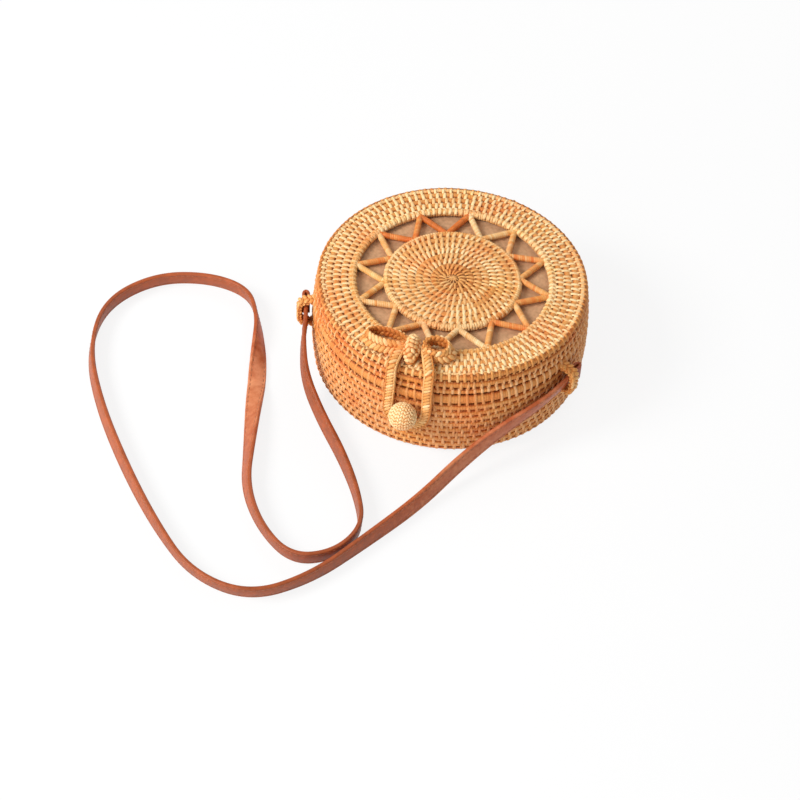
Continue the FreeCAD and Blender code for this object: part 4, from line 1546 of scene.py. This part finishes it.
class BAG_OT_stage(bpy.types.Operator):
    """Set the floor, the lights and the camera"""

    bl_idname = "bag.stage"
    bl_label = "Stage"

    def execute(self, context):
        scene = context.scene
        scene.view_settings.view_transform = "Standard"
        self.add_floor(scene)
        self.add_world(scene)
        for light in LIGHTS:
            self.add_light(scene, *light)
        sensor = 36.0
        lens = bpy.data.cameras.new("camera")
        lens.sensor_width = sensor
        lens.lens = CAMERA_FOCUS_PX / IMAGE_PX * sensor
        lens.clip_end = 50.0
        camera = bpy.data.objects.new("camera", lens)
        scene.collection.objects.link(camera)
        camera.matrix_world = camera_matrix()
        scene.camera = camera
        return {"FINISHED"}

    def add_floor(self, scene):
        drop = 0.1 * MM
        bm = bmesh.new()
        bmesh.ops.create_grid(bm, x_segments=1, y_segments=1, size=3.0)
        bmesh.ops.translate(bm, vec=(0, 0, -drop), verts=bm.verts)
        mesh = bpy.data.meshes.new("floor")
        bm.to_mesh(mesh)
        bm.free()
        floor = bpy.data.objects.new("floor", mesh)
        scene.collection.objects.link(floor)
        mesh.materials.append(self.floor_material())

    def floor_material(self):
        """Matt white paper, which the camera sees almost at full white and which keeps a faint shadow."""
        material, tree, shader = new_material("white_paper")
        set_inputs(tree, shader, {"Base Color": linear("F4F4F4"), "Roughness": 0.9})
        glow_share = 0.85
        path = add_node(tree, "LightPath")
        seen = add_node(tree, "Math", {"operation": "MAXIMUM"},
                        _0=path.outputs["Is Camera Ray"], _1=path.outputs["Is Glossy Ray"])
        share = add_node(tree, "Math", {"operation": "MULTIPLY"}, {1: glow_share}, _0=seen.outputs[0])
        glow = add_node(tree, "Emission", None, {"Strength": 1.0})
        mixed = add_node(tree, "MixShader", _0=share.outputs[0], _1=shader.outputs[0], _2=glow.outputs[0])
        set_inputs(tree, tree.nodes["Material Output"], Surface=mixed.outputs[0])
        return material

    def add_world(self, scene):
        world = bpy.data.worlds.new("studio")
        world.use_nodes = True
        scene.world = world
        tree = world.node_tree
        path = add_node(tree, "LightPath")
        strength = add_node(tree, "MapRange", None, {"To Min": 0.33, "To Max": 1.0},
                            Value=path.outputs["Is Camera Ray"])
        set_inputs(tree, tree.nodes["Background"], {"Color": linear("FFFFFF")}, Strength=strength.outputs[0])

    def add_light(self, scene, name, place, size, power):
        lamp = bpy.data.lights.new(name, "AREA")
        lamp.size = size
        lamp.energy = power
        light = bpy.data.objects.new(name, lamp)
        scene.collection.objects.link(light)
        light.location = place
        light.rotation_euler = (CAMERA_TARGET - Vector(place)).to_track_quat("-Z", "Y").to_euler()


class BAG_PT_pieces(bpy.types.Panel):
    """Lists the bag's pieces, with their sizes and colours"""

    bl_idname = "BAG_PT_pieces"
    bl_label = "Coiled bag"
    bl_space_type = "VIEW_3D"
    bl_region_type = "UI"
    bl_category = "Bag"

    def draw(self, context):
        for group in (context.scene.bag_weave, context.scene.bag_strap, context.scene.bag_colours):
            for name in group.__annotations__:
                self.layout.prop(group, name)
        for operator in OPERATORS:
            self.layout.operator(operator.bl_idname)


OPERATORS = (
    BAG_OT_stage, BAG_OT_strap, BAG_OT_coiled_wall, BAG_OT_coiled_floor, BAG_OT_coiled_lid, BAG_OT_spokes,
    BAG_OT_lining, BAG_OT_ball, BAG_OT_side_loops, BAG_OT_hinge_ties, BAG_OT_bow, BAG_OT_clasp,
)
GROUPS = (BagWeaveSizes, BagStrapSizes, BagColours)


def register():
    for kind in GROUPS + OPERATORS + (BAG_PT_pieces,):
        bpy.utils.register_class(kind)
    bpy.types.Scene.bag_weave = PointerProperty(type=BagWeaveSizes)
    bpy.types.Scene.bag_strap = PointerProperty(type=BagStrapSizes)
    bpy.types.Scene.bag_colours = PointerProperty(type=BagColours)


def unregister():
    del bpy.types.Scene.bag_colours
    del bpy.types.Scene.bag_strap
    del bpy.types.Scene.bag_weave
    for kind in reversed(GROUPS + OPERATORS + (BAG_PT_pieces,)):
        bpy.utils.unregister_class(kind)


def main():
    register()
    bpy.ops.bag.stage()
    bpy.ops.bag.strap()
    bpy.ops.bag.coiled_wall()
    bpy.ops.bag.coiled_floor()
    bpy.ops.bag.coiled_lid()
    bpy.ops.bag.spokes()
    bpy.ops.bag.lining()
    bpy.ops.bag.ball()
    bpy.ops.bag.side_loops()
    bpy.ops.bag.hinge_ties()
    bpy.ops.bag.bow()
    bpy.ops.bag.clasp()


if __name__ == "__main__":
    main()
